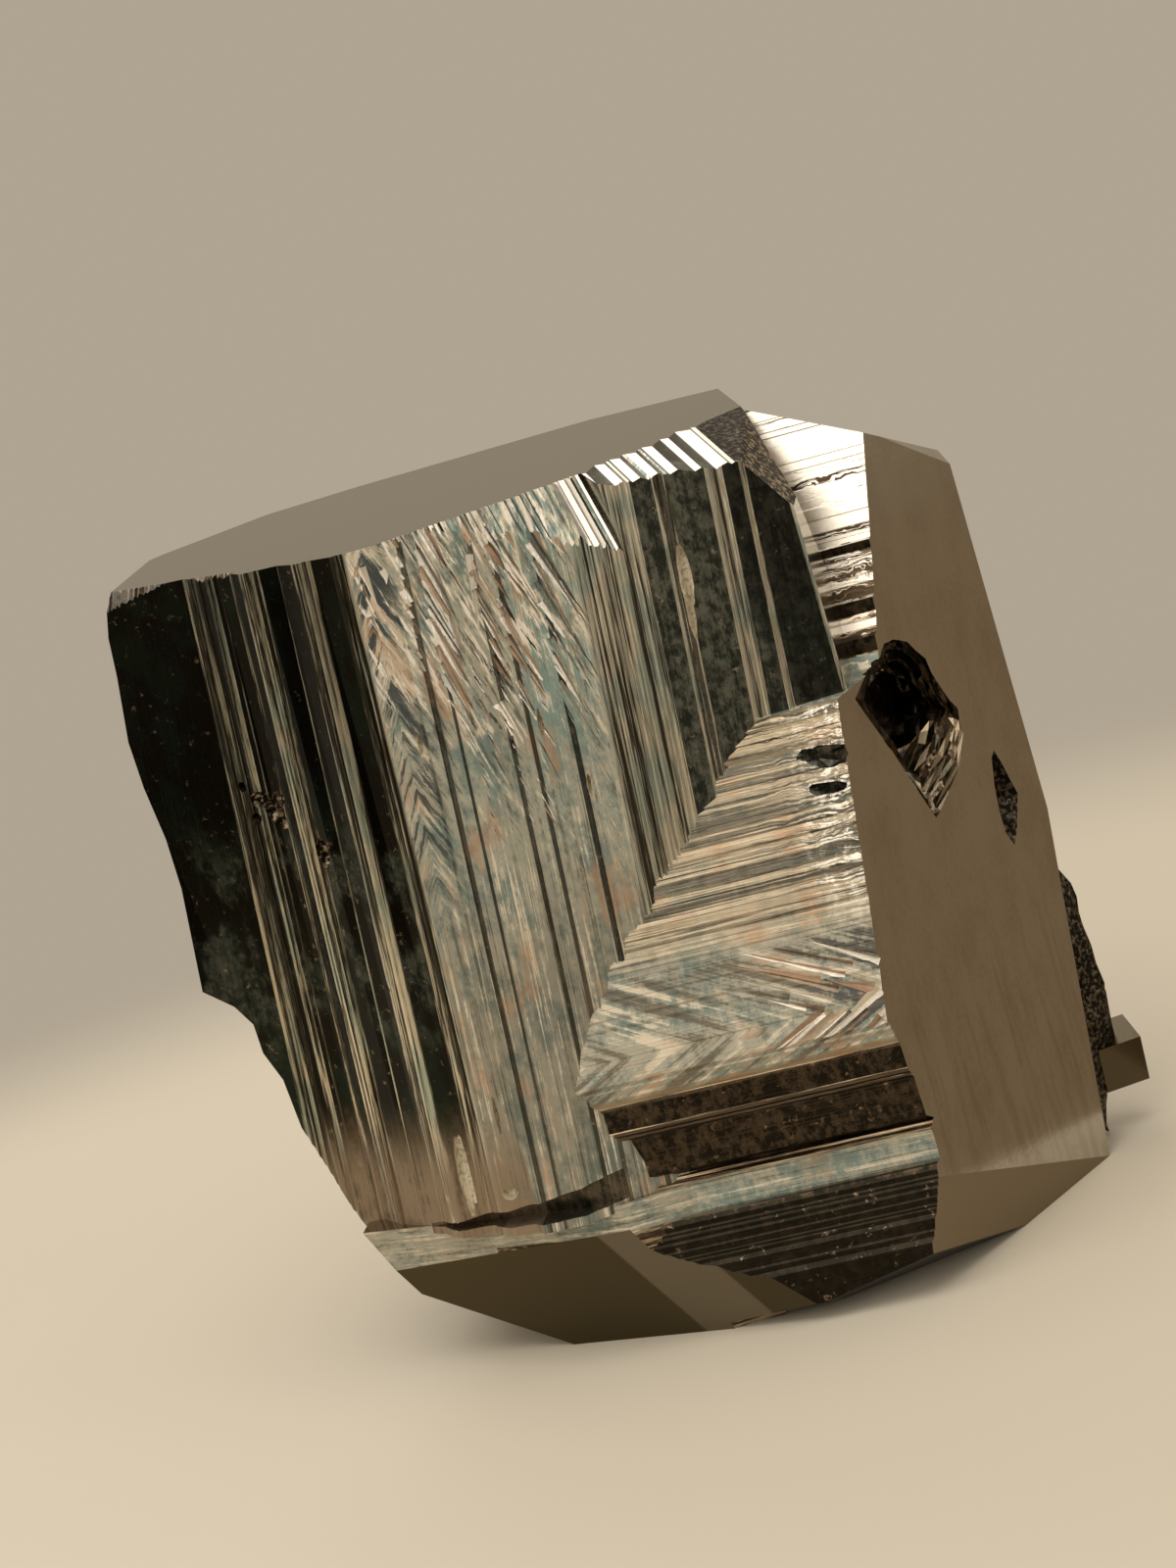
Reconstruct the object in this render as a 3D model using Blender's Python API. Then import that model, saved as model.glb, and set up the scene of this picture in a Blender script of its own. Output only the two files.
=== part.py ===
"""Pyrite specimen: two intergrown crystals and a small third one, all one solid.

The upright crystal is a pillar whose front steps run up and down. The cross crystal
passes through it with level steps, and shows at the lower right, at the upper right
and as the slab under the pillar. Faces of the pyritohedron, which lean 1 in 2 from
the cube faces, cut both. X runs along the front, -Y is the front and Z is up.
Lengths are in millimetres and are scaled to metres as each mesh is made.
"""

import math
import random

import bmesh
import bpy
from mathutils import Matrix, Vector

MM = 0.001

# The whole specimen
TOP = 34.1  # the smooth top face of the pillar
BASE = -0.7  # the flat the specimen rests on
BACK = 9.2
RISER_SHARE = 0.3  # how much of a step's width its riser takes
GROWTH_SEED = 7

# Front of the pillar in plan: each run ends at (x, y) and is broken into so many steps
PILLAR_START = (-18.2, -2.5)
PILLAR_RUNS = (
    ((-12.8, -4.1), 2),
    ((-9.1, -6.5), 7),
    ((-7.2, -6.85), 1),
    ((-6.36, -7.6), 3),
    ((-5.66, -7.7), 1),
    ((-5.44, -7.45), 1),
    ((-5.22, -8.15), 1),
    ((-3.2, -8.2), 2),
    ((-1.45, -7.27), 3),
    ((3.28, -6.26), 5),
    ((5.65, -5.76), 7),
    ((8.59, -5.13), 2),
    ((9.12, -5.02), 2),
    ((12.15, -4.38), 3),
)
PILLAR_REAR = (
    (12.15, 0.2), (10.6, 1.3), (8.7, 8.0), (2.4, BACK), (-7.8, 8.2), (-11.75, 7.3), (-15.6, 4.1), (-18.2, 1.0),
)
PILLAR_FOOT = 5.4  # the pillar stands on the slab, a little way into it

# Front of the cross crystal in section: each run ends at (z, y)
CROSS_START = (BASE - 0.2, -8.3)
CROSS_RUNS = (
    ((1.3, -8.3), 1),
    ((2.6, -7.8), 3),
    ((4.4, -7.3), 4),
    ((4.5, -7.05), 1),
    ((5.75, -7.05), 1),
    ((6.1, -6.7), 1),
    ((6.4, -7.1), 1),
    ((8.1, -7.15), 1),
    ((8.6, -7.35), 2),
    ((9.7, -7.4), 1),
    ((10.8, -7.7), 2),
    ((15.7, -6.72), 5),
    ((20.0, -5.86), 8),
    ((23.1, -5.24), 6),
    ((23.35, -2.27), 1),
    ((26.5, -1.2), 6),
    ((TOP - 0.2, 1.35), 12),
)
CROSS_BACK = 8.7
CROSS_LEFT, CROSS_RIGHT = -3.6, 18.0

# The slab under the pillar, in plan
SLAB_OUTLINE = ((-15.6, -3.7), (-1.9, -7.7), (0.6, -7.1), (3.0, -6.6), (4.0, 8.3), (-9.0, 7.6), (-14.4, 3.5))
SLAB_TOP = 5.75

# Cleaving planes: a point on the face and the way the face looks
RIGHT_FACE = ((10.56, -7.7, 10.8), (2.0, -1.0, 0.0))
REAR_RIGHT_FACE = ((17.1, 5.4, 20.0), (1.0, 2.0, 0.0))
CROSS_TOP_FACE = ((14.66, 0.7, 31.99), (0.432, 0.233, 0.872))
CROSS_CORNER_FACE = ((17.1, 5.3, 29.0), (0.85, -0.1, 0.5))
LOWER_RIGHT_FACE = ((11.33, -6.16, 3.35), (0.864, -0.488, -0.128))
LOWER_REAR_FACE = ((17.1, 5.35, 13.7), (0.447, 0.894, -0.175))
LOWER_FRONT_FACE = ((6.0, -8.3, 0.3), (0.198, -0.394, -0.898))
FRONT_FOOT_FACE = ((2.0, -8.3, 0.1), (0.0, -0.371, -0.928))
TOP_LEFT_EDGE = ((-15.73, -2.26, TOP), (-0.304, -0.575, 0.759))
TOP_RIGHT_EDGE = ((5.0, -3.7, TOP), (0.161, -0.178, 0.971))
TOP_END_FACE = ((12.3, -4.3, 30.5), (0.845, -0.053, 0.532))
OLIVE_FACE = ((-11.46, -5.2, 5.1), (-0.257, -0.934, -0.251))
LOWER_LEFT_FACES = (
    ((-14.2, -5.0, 6.4), (-0.885, 0.0, -0.466)),
    ((-12.0, -5.0, 2.5), (-0.494, 0.0, -0.869)),
)
REAR_LOWER_FACE = ((0.0, 8.9, 5.0), (0.1, 2.0, -1.0))

# The pillar's left side as (x, z) from the front: broken back under an overhanging corner
LEFT_OUTLINE = (
    (-22.0, 36.0), (-15.6, 36.0), (-16.05, 34.2), (-16.6, 32.4), (-16.8, 30.8), (-17.3, 28.0),
    (-17.3, 26.0), (-17.1, 23.7), (-17.15, 21.5), (-17.75, 17.0), (-16.6, 16.1), (-16.0, 15.2),
    (-16.0, 13.9), (-15.5, 12.6), (-15.4, 10.4), (-14.8, 8.3), (-14.35, 6.4), (-13.6, 4.4), (-22.0, 4.4),
)

# The wedge groove over the slab, as (x, z) seen from the front, and how far in it goes
GROOVE_OUTLINE = ((-11.6, 5.7), (-4.0, 6.85), (-1.4, 7.1), (0.9, 6.9), (0.9, 6.25), (-2.0, 5.8))
GROOVE_DEPTH = 0.9
GROOVE_TURN_X = -3.2  # right of this its back wall runs straight across

# The edge lost between the top face and the centre of the front: its left and right ends
TOP_NOTCH_X = (-3.6, 4.5)
TOP_NOTCH_DROP = 5.0
TOP_NOTCH_FACE = ((-3.2, -8.0, TOP), (0.377, -0.775, 0.507))

# Hollows in the right face: (distance along the face from its left end, z) and depth
PIT_OUTLINE = (
    (3.95, 22.7), (4.8, 20.9), (5.25, 20.0), (6.85, 16.5), (7.3, 16.7), (9.45, 17.8), (10.3, 19.0),
    (10.35, 19.9), (9.75, 20.8), (9.3, 21.9), (9.2, 22.5), (8.3, 23.6), (7.4, 23.95), (6.8, 24.0),
    (6.25, 23.6), (5.5, 23.6),
)
PIT_DEPTH, PIT_FLOOR_SCALE = 2.6, 0.4
SLIT_OUTLINE = (
    (12.05, 17.5), (11.75, 17.3), (11.4, 16.2), (11.25, 15.2), (11.25, 14.2), (11.6, 13.5),
    (12.1, 14.0), (12.85, 15.3), (12.6, 16.0), (12.35, 16.8),
)
SLIT_DEPTH, SLIT_FLOOR_SCALE = 1.0, 0.3

# Growth plates on the back: (low x, high x, low z, high z, how far they stand out)
BACK_PLATES = ((-11.0, 3.5, 7.5, 27.5, 0.35), (-5.0, 7.0, 13.0, 31.0, 0.7), (5.0, 11.5, 4.0, 19.0, 0.5))
PLATE_ROOT = 6.0  # each plate starts this far back, inside the crystals

# The broken lump and the small crystal low down behind the right face
LUMP_CENTRE, LUMP_RADIUS, LUMP_HEIGHT = (15.3, 6.0, 6.6), 1.9, 14.4
LUMP_UNEVENNESS = (0.82, 1.12)
SMALL_CENTRE, SMALL_SIZE = (16.9, 6.4, 2.5), (1.9, 2.2, 2.1)
SMALL_TURN, SMALL_TILT = 20.0, 12.0  # degrees about Z, then about its own X

# Cutters reach this far past the specimen
CLEAR = 12.0

PYRITE_COLOUR, PYRITE_ROUGHNESS = (0.40, 0.34, 0.23, 1.0), 0.32


def clear_scene():
    for obj in list(bpy.data.objects):
        bpy.data.objects.remove(obj, do_unlink=True)


def collection(name, hidden=False):
    made = bpy.data.collections.new(name)
    bpy.context.scene.collection.children.link(made)
    made.hide_render = hidden
    return made


def stepped(start, runs, rng):
    """Points of a striated face: flat treads and short risers along each run."""
    points = [start]
    for (end_along, end_depth), steps in runs:
        along, depth = points[-1]
        shares = [rng.uniform(0.6, 1.4) for _ in range(steps)]
        width = (end_along - along) / sum(shares)
        drop = (end_depth - depth) / sum(shares)
        for share in shares:
            if steps > 1:
                points.append((along + share * width * (1.0 - RISER_SHARE), depth))
            along += share * width
            depth += share * drop
            points.append((along, depth))
    return points


def extruded(outline, low, high, place):
    """A closed outline pushed from low to high; place turns (u, v, w) into a point."""
    bm = bmesh.new()
    face = bm.faces.new([bm.verts.new(place(u, v, low)) for u, v in outline])
    pushed = bmesh.ops.extrude_face_region(bm, geom=[face])["geom"]
    far_end = [item for item in pushed if isinstance(item, bmesh.types.BMVert)]
    travel = place(0.0, 0.0, high) - place(0.0, 0.0, low)
    bmesh.ops.translate(bm, verts=far_end, vec=travel)
    bmesh.ops.recalc_face_normals(bm, faces=bm.faces[:])
    return bm


def upright(x, y, z):
    return Vector((x, y, z))


def crosswise(z, y, x):
    return Vector((x, y, z))


def front_view(x, z, y):
    return Vector((x, y, z))


def cleave(bm, faces):
    """Cuts the solid by each plane, keeps the side behind it and closes the cut."""
    for point, facing in faces:
        cut = bmesh.ops.bisect_plane(
            bm,
            geom=bm.verts[:] + bm.edges[:] + bm.faces[:],
            dist=1e-5,
            plane_co=point,
            plane_no=Vector(facing).normalized(),
            clear_outer=True,
        )
        rim = [item for item in cut["geom_cut"] if isinstance(item, bmesh.types.BMEdge)]
        bmesh.ops.holes_fill(bm, edges=rim, sides=0)
    bmesh.ops.recalc_face_normals(bm, faces=bm.faces[:])
    return bm


def solid(name, bm, home, material):
    bmesh.ops.scale(bm, vec=(MM, MM, MM), verts=bm.verts[:])
    mesh = bpy.data.meshes.new(name)
    bm.to_mesh(mesh)
    bm.free()
    mesh.materials.append(material)
    obj = bpy.data.objects.new(name, mesh)
    home.objects.link(obj)
    return obj


def cutter(name, bm, home, material):
    obj = solid(name, bm, home, material)
    obj.hide_render = True
    obj.display_type = "WIRE"
    return obj


def combine(target, other, operation):
    boolean = target.modifiers.new(other.name, "BOOLEAN")
    boolean.object = other
    boolean.operation = operation
    boolean.solver = "EXACT"


def pillar(rng):
    outline = stepped(PILLAR_START, PILLAR_RUNS, rng) + list(PILLAR_REAR)
    bm = extruded(outline, PILLAR_FOOT, TOP, upright)
    return cleave(bm, (TOP_LEFT_EDGE, TOP_RIGHT_EDGE, TOP_END_FACE))


def cross_crystal(rng):
    front = stepped(CROSS_START, CROSS_RUNS, rng)
    outline = front + [(TOP - 0.2, CROSS_BACK), (CROSS_START[0], CROSS_BACK)]
    bm = extruded(outline, CROSS_LEFT, CROSS_RIGHT, crosswise)
    faces = (
        RIGHT_FACE, REAR_RIGHT_FACE, CROSS_TOP_FACE, CROSS_CORNER_FACE,
        LOWER_RIGHT_FACE, LOWER_REAR_FACE, LOWER_FRONT_FACE, FRONT_FOOT_FACE, REAR_LOWER_FACE, OLIVE_FACE,
    )
    return cleave(bm, faces)


def slab():
    bm = extruded(SLAB_OUTLINE, CROSS_START[0], SLAB_TOP, upright)
    return cleave(bm, (OLIVE_FACE, *LOWER_LEFT_FACES, REAR_LOWER_FACE))


def back_plate(low_x, high_x, low_z, high_z, proud):
    outline = ((low_x, low_z), (high_x, low_z), (high_x, high_z), (low_x, high_z))
    return extruded(outline, PLATE_ROOT, CROSS_BACK + proud, front_view)


def broken_lump(rng):
    """A rough, many-sided lump: a coarse ball drawn tall, its points unevenly out."""
    bm = bmesh.new()
    bmesh.ops.create_icosphere(bm, subdivisions=2, radius=1.0)
    for vert in bm.verts:
        reach = rng.uniform(*LUMP_UNEVENNESS)
        vert.co.x *= LUMP_RADIUS * reach
        vert.co.y *= LUMP_RADIUS * reach
        vert.co.z *= LUMP_HEIGHT / 2.0 * reach
        vert.co += Vector(LUMP_CENTRE)
    return bm


def small_crystal():
    bm = bmesh.new()
    bmesh.ops.create_cube(bm, size=1.0)
    turn = Matrix.Rotation(math.radians(SMALL_TURN), 4, "Z")
    tilt = Matrix.Rotation(math.radians(SMALL_TILT), 4, "X")
    size = Matrix.Diagonal((*SMALL_SIZE, 1.0))
    place = Matrix.Translation(SMALL_CENTRE) @ turn @ tilt @ size
    bmesh.ops.transform(bm, matrix=place, verts=bm.verts[:])
    return bm


def hollow(outline, depth, floor_scale):
    """A cutter that narrows inwards from the right face, as a grown-in pit does."""
    point, facing = (Vector(item) for item in RIGHT_FACE)
    outward = facing.normalized()
    along = Vector((-outward.y, outward.x, 0.0))
    start = Vector((point.x, point.y, 0.0))
    mouth = [start + along * u + Vector((0.0, 0.0, z)) for u, z in outline]
    middle = sum(mouth, Vector()) / len(mouth)
    proud = 0.5
    narrowing = (1.0 - floor_scale) / depth
    rim_scale = 1.0 + narrowing * proud
    bm = bmesh.new()
    rim = [bm.verts.new(middle + (p - middle) * rim_scale + outward * proud) for p in mouth]
    face = bm.faces.new(rim)
    pushed = bmesh.ops.extrude_face_region(bm, geom=[face])["geom"]
    for vert in [item for item in pushed if isinstance(item, bmesh.types.BMVert)]:
        from_middle = vert.co - outward * proud - middle
        vert.co = middle + from_middle * (floor_scale / rim_scale) - outward * depth
    bmesh.ops.recalc_face_normals(bm, faces=bm.faces[:])
    return bm


def groove():
    """The wedge between the pillar's foot and the slab, along the pillar's left front."""
    left_x, left_y = PILLAR_RUNS[1][0]
    right_x, right_y = PILLAR_RUNS[7][0]
    slope = (right_y - left_y) / (right_x - left_x)
    bm = extruded(GROOVE_OUTLINE, -CLEAR, 0.0, front_view)
    for vert in bm.verts:
        if vert.co.y == 0.0:
            along = min(vert.co.x, GROOVE_TURN_X) - left_x
            vert.co.y = left_y + slope * along + GROOVE_DEPTH
    return bm


def left_of_pillar():
    """All that lies left of the pillar's uneven, partly broken side."""
    return extruded(LEFT_OUTLINE, -CLEAR, CLEAR, front_view)


def top_notch():
    """The slanting edge between the top face and the centre of the front."""
    left, right = TOP_NOTCH_X
    low, high = TOP - TOP_NOTCH_DROP, TOP + 2.0
    outline = ((left, low), (right, low), (right, high), (left, high))
    point, facing = TOP_NOTCH_FACE
    return cleave(extruded(outline, -CLEAR, -2.0, front_view), ((point, -Vector(facing)),))


def base_block():
    """All that lies under the flat the specimen rests on."""
    left, right = LEFT_OUTLINE[0][0], CROSS_RIGHT + CLEAR
    below = ((left, -CLEAR), (right, -CLEAR), (right, CLEAR), (left, CLEAR))
    return extruded(below, BASE - CLEAR, BASE, upright)


def set_on_origin(obj):
    """Moves the finished solid so that the origin is under the middle of its box."""
    bpy.context.view_layer.update()
    graph = bpy.context.evaluated_depsgraph_get()
    mesh = bpy.data.meshes.new_from_object(obj.evaluated_get(graph))
    obj.modifiers.clear()
    obj.data = mesh
    xs, ys, zs = zip(*(vert.co for vert in mesh.vertices))
    under_middle = Vector(((min(xs) + max(xs)) / 2.0, (min(ys) + max(ys)) / 2.0, min(zs)))
    mesh.transform(Matrix.Translation(-under_middle))


def build():
    clear_scene()
    parts = collection("pyrite_specimen")
    cutters = collection("cutters", hidden=True)
    rng = random.Random(GROWTH_SEED)
    pyrite = bpy.data.materials.new("pyrite")
    pyrite.use_nodes = True
    shader = pyrite.node_tree.nodes["Principled BSDF"]
    shader.inputs["Base Color"].default_value = PYRITE_COLOUR
    shader.inputs["Roughness"].default_value = PYRITE_ROUGHNESS
    shader.inputs["Metallic"].default_value = 1.0

    crystal = solid("pyrite_crystal", pillar(rng), parts, pyrite)
    combine(crystal, cutter("left_of_pillar", left_of_pillar(), cutters, pyrite), "DIFFERENCE")
    combine(crystal, cutter("top_notch", top_notch(), cutters, pyrite), "DIFFERENCE")
    joined = [("slab", slab()), ("cross_crystal", cross_crystal(rng))]
    joined += [(f"back_plate_{i}", back_plate(*plate)) for i, plate in enumerate(BACK_PLATES, 1)]
    joined += [("broken_lump", broken_lump(rng)), ("small_crystal", small_crystal())]
    for name, bm in joined:
        combine(crystal, cutter(name, bm, cutters, pyrite), "UNION")
    taken = (
        ("pit", hollow(PIT_OUTLINE, PIT_DEPTH, PIT_FLOOR_SCALE)),
        ("slit", hollow(SLIT_OUTLINE, SLIT_DEPTH, SLIT_FLOOR_SCALE)),
        ("groove", groove()),
        ("base", base_block()),
    )
    for name, bm in taken:
        combine(crystal, cutter(name, bm, cutters, pyrite), "DIFFERENCE")
    set_on_origin(crystal)


build()
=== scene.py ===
"""Looks of the pyrite specimen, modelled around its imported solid.

The crystals are modelled in millimetres from the middle of their front, then set on the
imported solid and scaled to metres. X runs along the front, -Y is the front and Z is up.
"""

import bisect
import math
import random

import bpy
from mathutils import Matrix, Vector


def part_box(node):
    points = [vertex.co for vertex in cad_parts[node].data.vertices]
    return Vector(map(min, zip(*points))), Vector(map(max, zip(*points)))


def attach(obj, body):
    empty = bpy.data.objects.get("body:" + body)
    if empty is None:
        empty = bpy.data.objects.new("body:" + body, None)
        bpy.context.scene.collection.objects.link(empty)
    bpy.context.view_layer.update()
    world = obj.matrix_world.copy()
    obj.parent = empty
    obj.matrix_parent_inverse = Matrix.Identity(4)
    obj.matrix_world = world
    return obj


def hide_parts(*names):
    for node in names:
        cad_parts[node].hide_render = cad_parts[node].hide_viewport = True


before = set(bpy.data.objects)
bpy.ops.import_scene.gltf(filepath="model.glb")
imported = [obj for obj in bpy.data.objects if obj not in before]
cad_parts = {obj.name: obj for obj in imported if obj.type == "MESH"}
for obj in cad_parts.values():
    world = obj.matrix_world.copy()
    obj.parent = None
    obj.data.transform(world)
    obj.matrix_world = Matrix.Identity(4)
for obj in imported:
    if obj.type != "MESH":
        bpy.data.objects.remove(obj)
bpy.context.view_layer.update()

# ---------------------------------------------------------------------------------------
# The upright crystal: the larger of two intergrown crystals of pyrite, an iron sulphide.
# It grew in layers whose edges run up and down, so its front is all flat treads and
# slanting risers, in dense bundles between wide dark treads, under a smooth top face.

TOP, BASE, BACK = 34.1, -0.7, 9.2
growth = random.Random(11)

# Each face bears a mark: its tone, or 0 if it is smooth, its darkness, partly its own colour and partly
# painted shade, and its kind of growth
FRESH_BREAK, ROUGH_BREAK = -2.0, -1.0
UPRIGHT_STEPS, FLUTED, FEATHERED = 0.0, 0.25, 0.5
LEVEL_STEPS, LEVEL_FEATHERED, CLEAN_STEPS = 1.0, 1.5, 2.0
LEAST_TONE = 0.05
SATIN_MARK = (0.0, 0.0, UPRIGHT_STEPS)
LEFT_MARK = (0.4, 0.8, UPRIGHT_STEPS)
GLINTING_MARK = (0.9, 0.9, ROUGH_BREAK)

# Front in plan: where a run ends (x, y), its steps, the slopes of tread and riser, darkness
UPRIGHT_START = (-18.2, -2.5)
UPRIGHT_RUNS = (
    ((-13.1, -3.05), 0, 0.0, 0.0, 0.95),
    ((-12.1, -4.3), 6, -0.2, -1.9, 0.1),
    ((-11.87, -4.33), 0, 0.0, 0.0, 1.0),
    ((-11.55, -4.75), 2, -0.2, -1.9, 0.0),
    ((-11.35, -4.78), 0, 0.0, 0.0, 1.0),
    ((-11.25, -4.95), 0, 0.0, 0.0, 0.0),
    ((-10.7, -5.03), 0, 0.0, 0.0, 1.0),
    ((-10.5, -5.35), 1, -0.2, -1.9, 0.0),
    ((-10.1, -5.42), 0, 0.0, 0.0, 0.95),
    ((-9.2, -6.55), 5, -0.2, -1.9, 0.05),
    ((-8.4, -6.62), 0, 0.0, 0.0, 1.0),
    ((-8.34, -6.7), 0, 0.0, 0.0, 0.3),
    ((-7.65, -6.76), 0, 0.0, 0.0, 1.0),
    ((-6.7, -7.6), 5, -0.2, -1.7, 0.0),
    ((-5.65, -7.72), 1, -0.08, -0.5, 0.95),
    ((-5.2, -8.15), 2, -0.2, -1.5, 0.2),
    ((-3.2, -8.2), 4, -0.06, 0.15, 0.0),
    ((-3.0, -7.95), 0, 0.0, 0.0, 0.75),
    ((-2.5, -7.75), 1, 0.2, 0.9, 0.0),
    ((-2.38, -7.60), 0, 0.0, 0.0, 0.7),
    ((-1.45, -7.27), 3, 0.3, 0.9, 0.0),
    ((-0.66, -7.1), 2, 0.12, 0.8, 0.1),
    ((-0.50, -6.92), 0, 0.0, 0.0, 0.75),
    ((0.1, -7.0), 2, -0.2, 0.4, 0.1),
    ((0.28, -6.78), 0, 0.0, 0.0, 0.7),
    ((1.6, -6.65), 4, 0.0, 0.6, 0.0),
    ((1.84, -6.43), 0, 0.0, 0.0, 0.75),
    ((3.28, -6.26), 4, 0.0, 0.5, 0.0),
    ((5.65, -5.76), 13, -0.20, 0.8, 0.1),
    ((6.6, -5.56), 1, 0.12, 0.9, 0.95),
    ((7.0, -5.47), 2, 0.0, 0.7, 0.5),
    ((8.59, -5.13), 1, 0.16, 0.9, 0.95),
    ((9.12, -5.02), 4, -0.1, 0.9, 0.1),
    ((9.9, -4.86), 1, 0.12, 1.1, 0.95),
    ((10.1, -4.82), 1, -0.1, 0.9, 0.0),
    ((12.15, -4.38), 1, 0.19, 1.1, 0.9),
)
UPRIGHT_REAR = (
    (12.15, 0.2), (10.6, 1.3), (8.7, 8.0), (2.4, BACK),
    (-7.8, 8.2), (-11.75, 7.3), (-15.6, 4.1), (-18.2, 1.0),
)
UPRIGHT_FOOT = 5.4
TREAD_SHARES = (0.15, 0.92)  # least and most of a step that its tread takes up
BUNDLE_RISER, TREAD_RISER = 0.3, 0.85  # how dark a riser is, as a share of its tread
STEP_LEAN, LEFT_LEAN, LEAN_FROM, LEAN_TURN = 0.088, 0.030, 25.5, 0.25
LEAN_RIGHT, LEAN_LEFT = (12.15, 9.65), (-5.0, -9.0)
LEFT_OUTLINE = (
    (-22.0, 36.0), (-15.6, 36.0), (-16.05, 34.2), (-16.6, 32.4), (-16.8, 30.8), (-17.3, 28.0),
    (-17.3, 26.0), (-17.1, 23.7), (-17.15, 21.5), (-17.75, 17.0), (-16.6, 16.1), (-16.0, 15.2),
    (-16.0, 13.9), (-15.5, 12.6), (-15.4, 10.4), (-14.8, 8.3), (-14.35, 6.4), (-13.6, 4.4), (-22.0, 4.4),
)
TOP_END_FACE = ((12.3, -4.3, 30.5), (0.845, -0.053, 0.532))
END_CORNER_FACE = ((10.53, 0.44, 34.1), (0.947, 0.275, 0.164))
CLEAR = 12.0  # cutters reach this far past the crystals


def take(obj):
    """Leaves obj alone selected, as the one the operators act on."""
    for other in bpy.context.selected_objects:
        other.select_set(False)
    obj.select_set(True)
    bpy.context.view_layer.objects.active = obj


def edit_all():
    """Opens the active object for editing, with all of it selected."""
    bpy.ops.object.mode_set(mode="EDIT")
    bpy.ops.mesh.select_all(action="SELECT")


def steps(start, runs, uneven=0.04):
    """Corners of a stepped outline, and each facet's far end, tone and darkness."""
    corners, grown = [start], []
    for end, count, tread, riser, dark in runs:
        along, depth = corners[-1]
        if not count:
            corners.append(end)
            grown.append((end[0], growth.random(), dark))
        weights = [growth.uniform(0.5, 1.5) for _ in range(count)]
        width, drop = end[0] - along, end[1] - depth
        reached = 0.0
        for weight in weights:
            reached += weight / sum(weights)
            target = (end[0] - width + width * reached, end[1] - drop + drop * reached)
            slope = tread + growth.uniform(-uneven, uneven)
            whole, fall = target[0] - along, target[1] - depth
            least, most = (share * whole for share in TREAD_SHARES)
            flat = min(max((riser * whole - fall) / (riser - slope), least), most)
            corners.append((along + flat, depth + slope * flat))
            corners.append(target)
            grown.append((along + flat, growth.random(), dark))
            grown.append((target[0], growth.random(), dark * (BUNDLE_RISER if dark < 1.0 else TREAD_RISER)))
            along, depth = target
    return corners, grown


def settle(obj):
    """Ends editing, with the edges and faces in an order that is the same every time."""
    bpy.ops.mesh.sort_elements(type="CURSOR_DISTANCE", elements={"EDGE", "FACE"})
    bpy.ops.object.mode_set(mode="OBJECT")
    for edge in obj.data.edges:
        edge.vertices = sorted(edge.vertices)


def push_through(name, outline, low, high, place):
    """One vertex is extruded from corner to corner, the loop filled and pushed through."""
    corners = [place(u, v, low) for u, v in outline]
    bpy.ops.mesh.primitive_plane_add(size=1.0)
    obj = bpy.context.object
    obj.name = name
    edit_all()
    bpy.ops.mesh.merge(type="CENTER")
    bpy.ops.transform.translate(value=corners[0])
    for here, there in zip(corners, corners[1:] + corners[:1]):
        bpy.ops.mesh.extrude_vertices_move(TRANSFORM_OT_translate={"value": there - here})
    bpy.ops.mesh.select_all(action="SELECT")
    bpy.ops.mesh.remove_doubles(threshold=1e-4)
    bpy.ops.mesh.edge_face_add()
    travel = place(0.0, 0.0, high) - place(0.0, 0.0, low)
    bpy.ops.mesh.extrude_region_move(TRANSFORM_OT_translate={"value": travel})
    bpy.ops.mesh.select_all(action="SELECT")
    bpy.ops.mesh.normals_make_consistent(inside=False)
    settle(obj)
    obj.data.attributes.new("growth", "FLOAT_VECTOR", "FACE")
    return obj


def upright(x, y, z):
    return Vector((x, y, z))


def front_view(x, z, y):
    return Vector((x, y, z))


def mark_face(obj, face, value):
    obj.data.attributes["growth"].data[face.index].vector = value


def mark_all(obj, value):
    for face in obj.data.polygons:
        mark_face(obj, face, value)
    return obj


def facet_of(grown, reached):
    """Tone and darkness of the facet that spans that point of a stepped outline."""
    facet = bisect.bisect_left([end for end, _, _ in grown], reached)
    _, tone, dark = grown[min(facet, len(grown) - 1)]
    return LEAST_TONE + (1.0 - LEAST_TONE) * tone, dark


def mark_front(obj, grown, axis, kind, clean_above=TOP):
    """Marks each facet of the front. Level steps grew clean above a certain height."""
    for face in obj.data.polygons:
        if face.normal.y <= -0.05:
            reached = face.center[axis]
            mark_face(obj, face, (*facet_of(grown, reached), CLEAN_STEPS if reached > clean_above else kind))


def cleave(obj, planes, value=SATIN_MARK):
    """Cuts obj by each plane, keeps the side behind it and marks the new face."""
    take(obj)
    for point, facing in planes:
        facing = Vector(facing).normalized()
        edit_all()
        bpy.ops.mesh.bisect(plane_co=point, plane_no=facing, use_fill=True, clear_outer=True, threshold=1e-5)
        bpy.ops.object.mode_set(mode="OBJECT")
        for face in obj.data.polygons:
            if face.normal.dot(facing) > 0.9999:
                mark_face(obj, face, value)
    return obj


def combine(obj, others, operation, crossing=False):
    """Joins the others to obj, or takes them away from it; crossing ones overlap themselves."""
    take(obj)
    for other in others:
        boolean = obj.modifiers.new(other.name, "BOOLEAN")
        boolean.object = other
        boolean.operation = operation
        boolean.solver = "EXACT" if crossing else "MANIFOLD"
        boolean.use_self = crossing
        bpy.ops.object.modifier_apply(modifier=boolean.name)
        bpy.data.objects.remove(other)
    return obj


def flat_faces(obj):
    """Splits every face into triangles, so that none is twisted."""
    take(obj)
    edit_all()
    bpy.ops.mesh.quads_convert_to_tris()
    bpy.ops.object.mode_set(mode="OBJECT")


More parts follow.
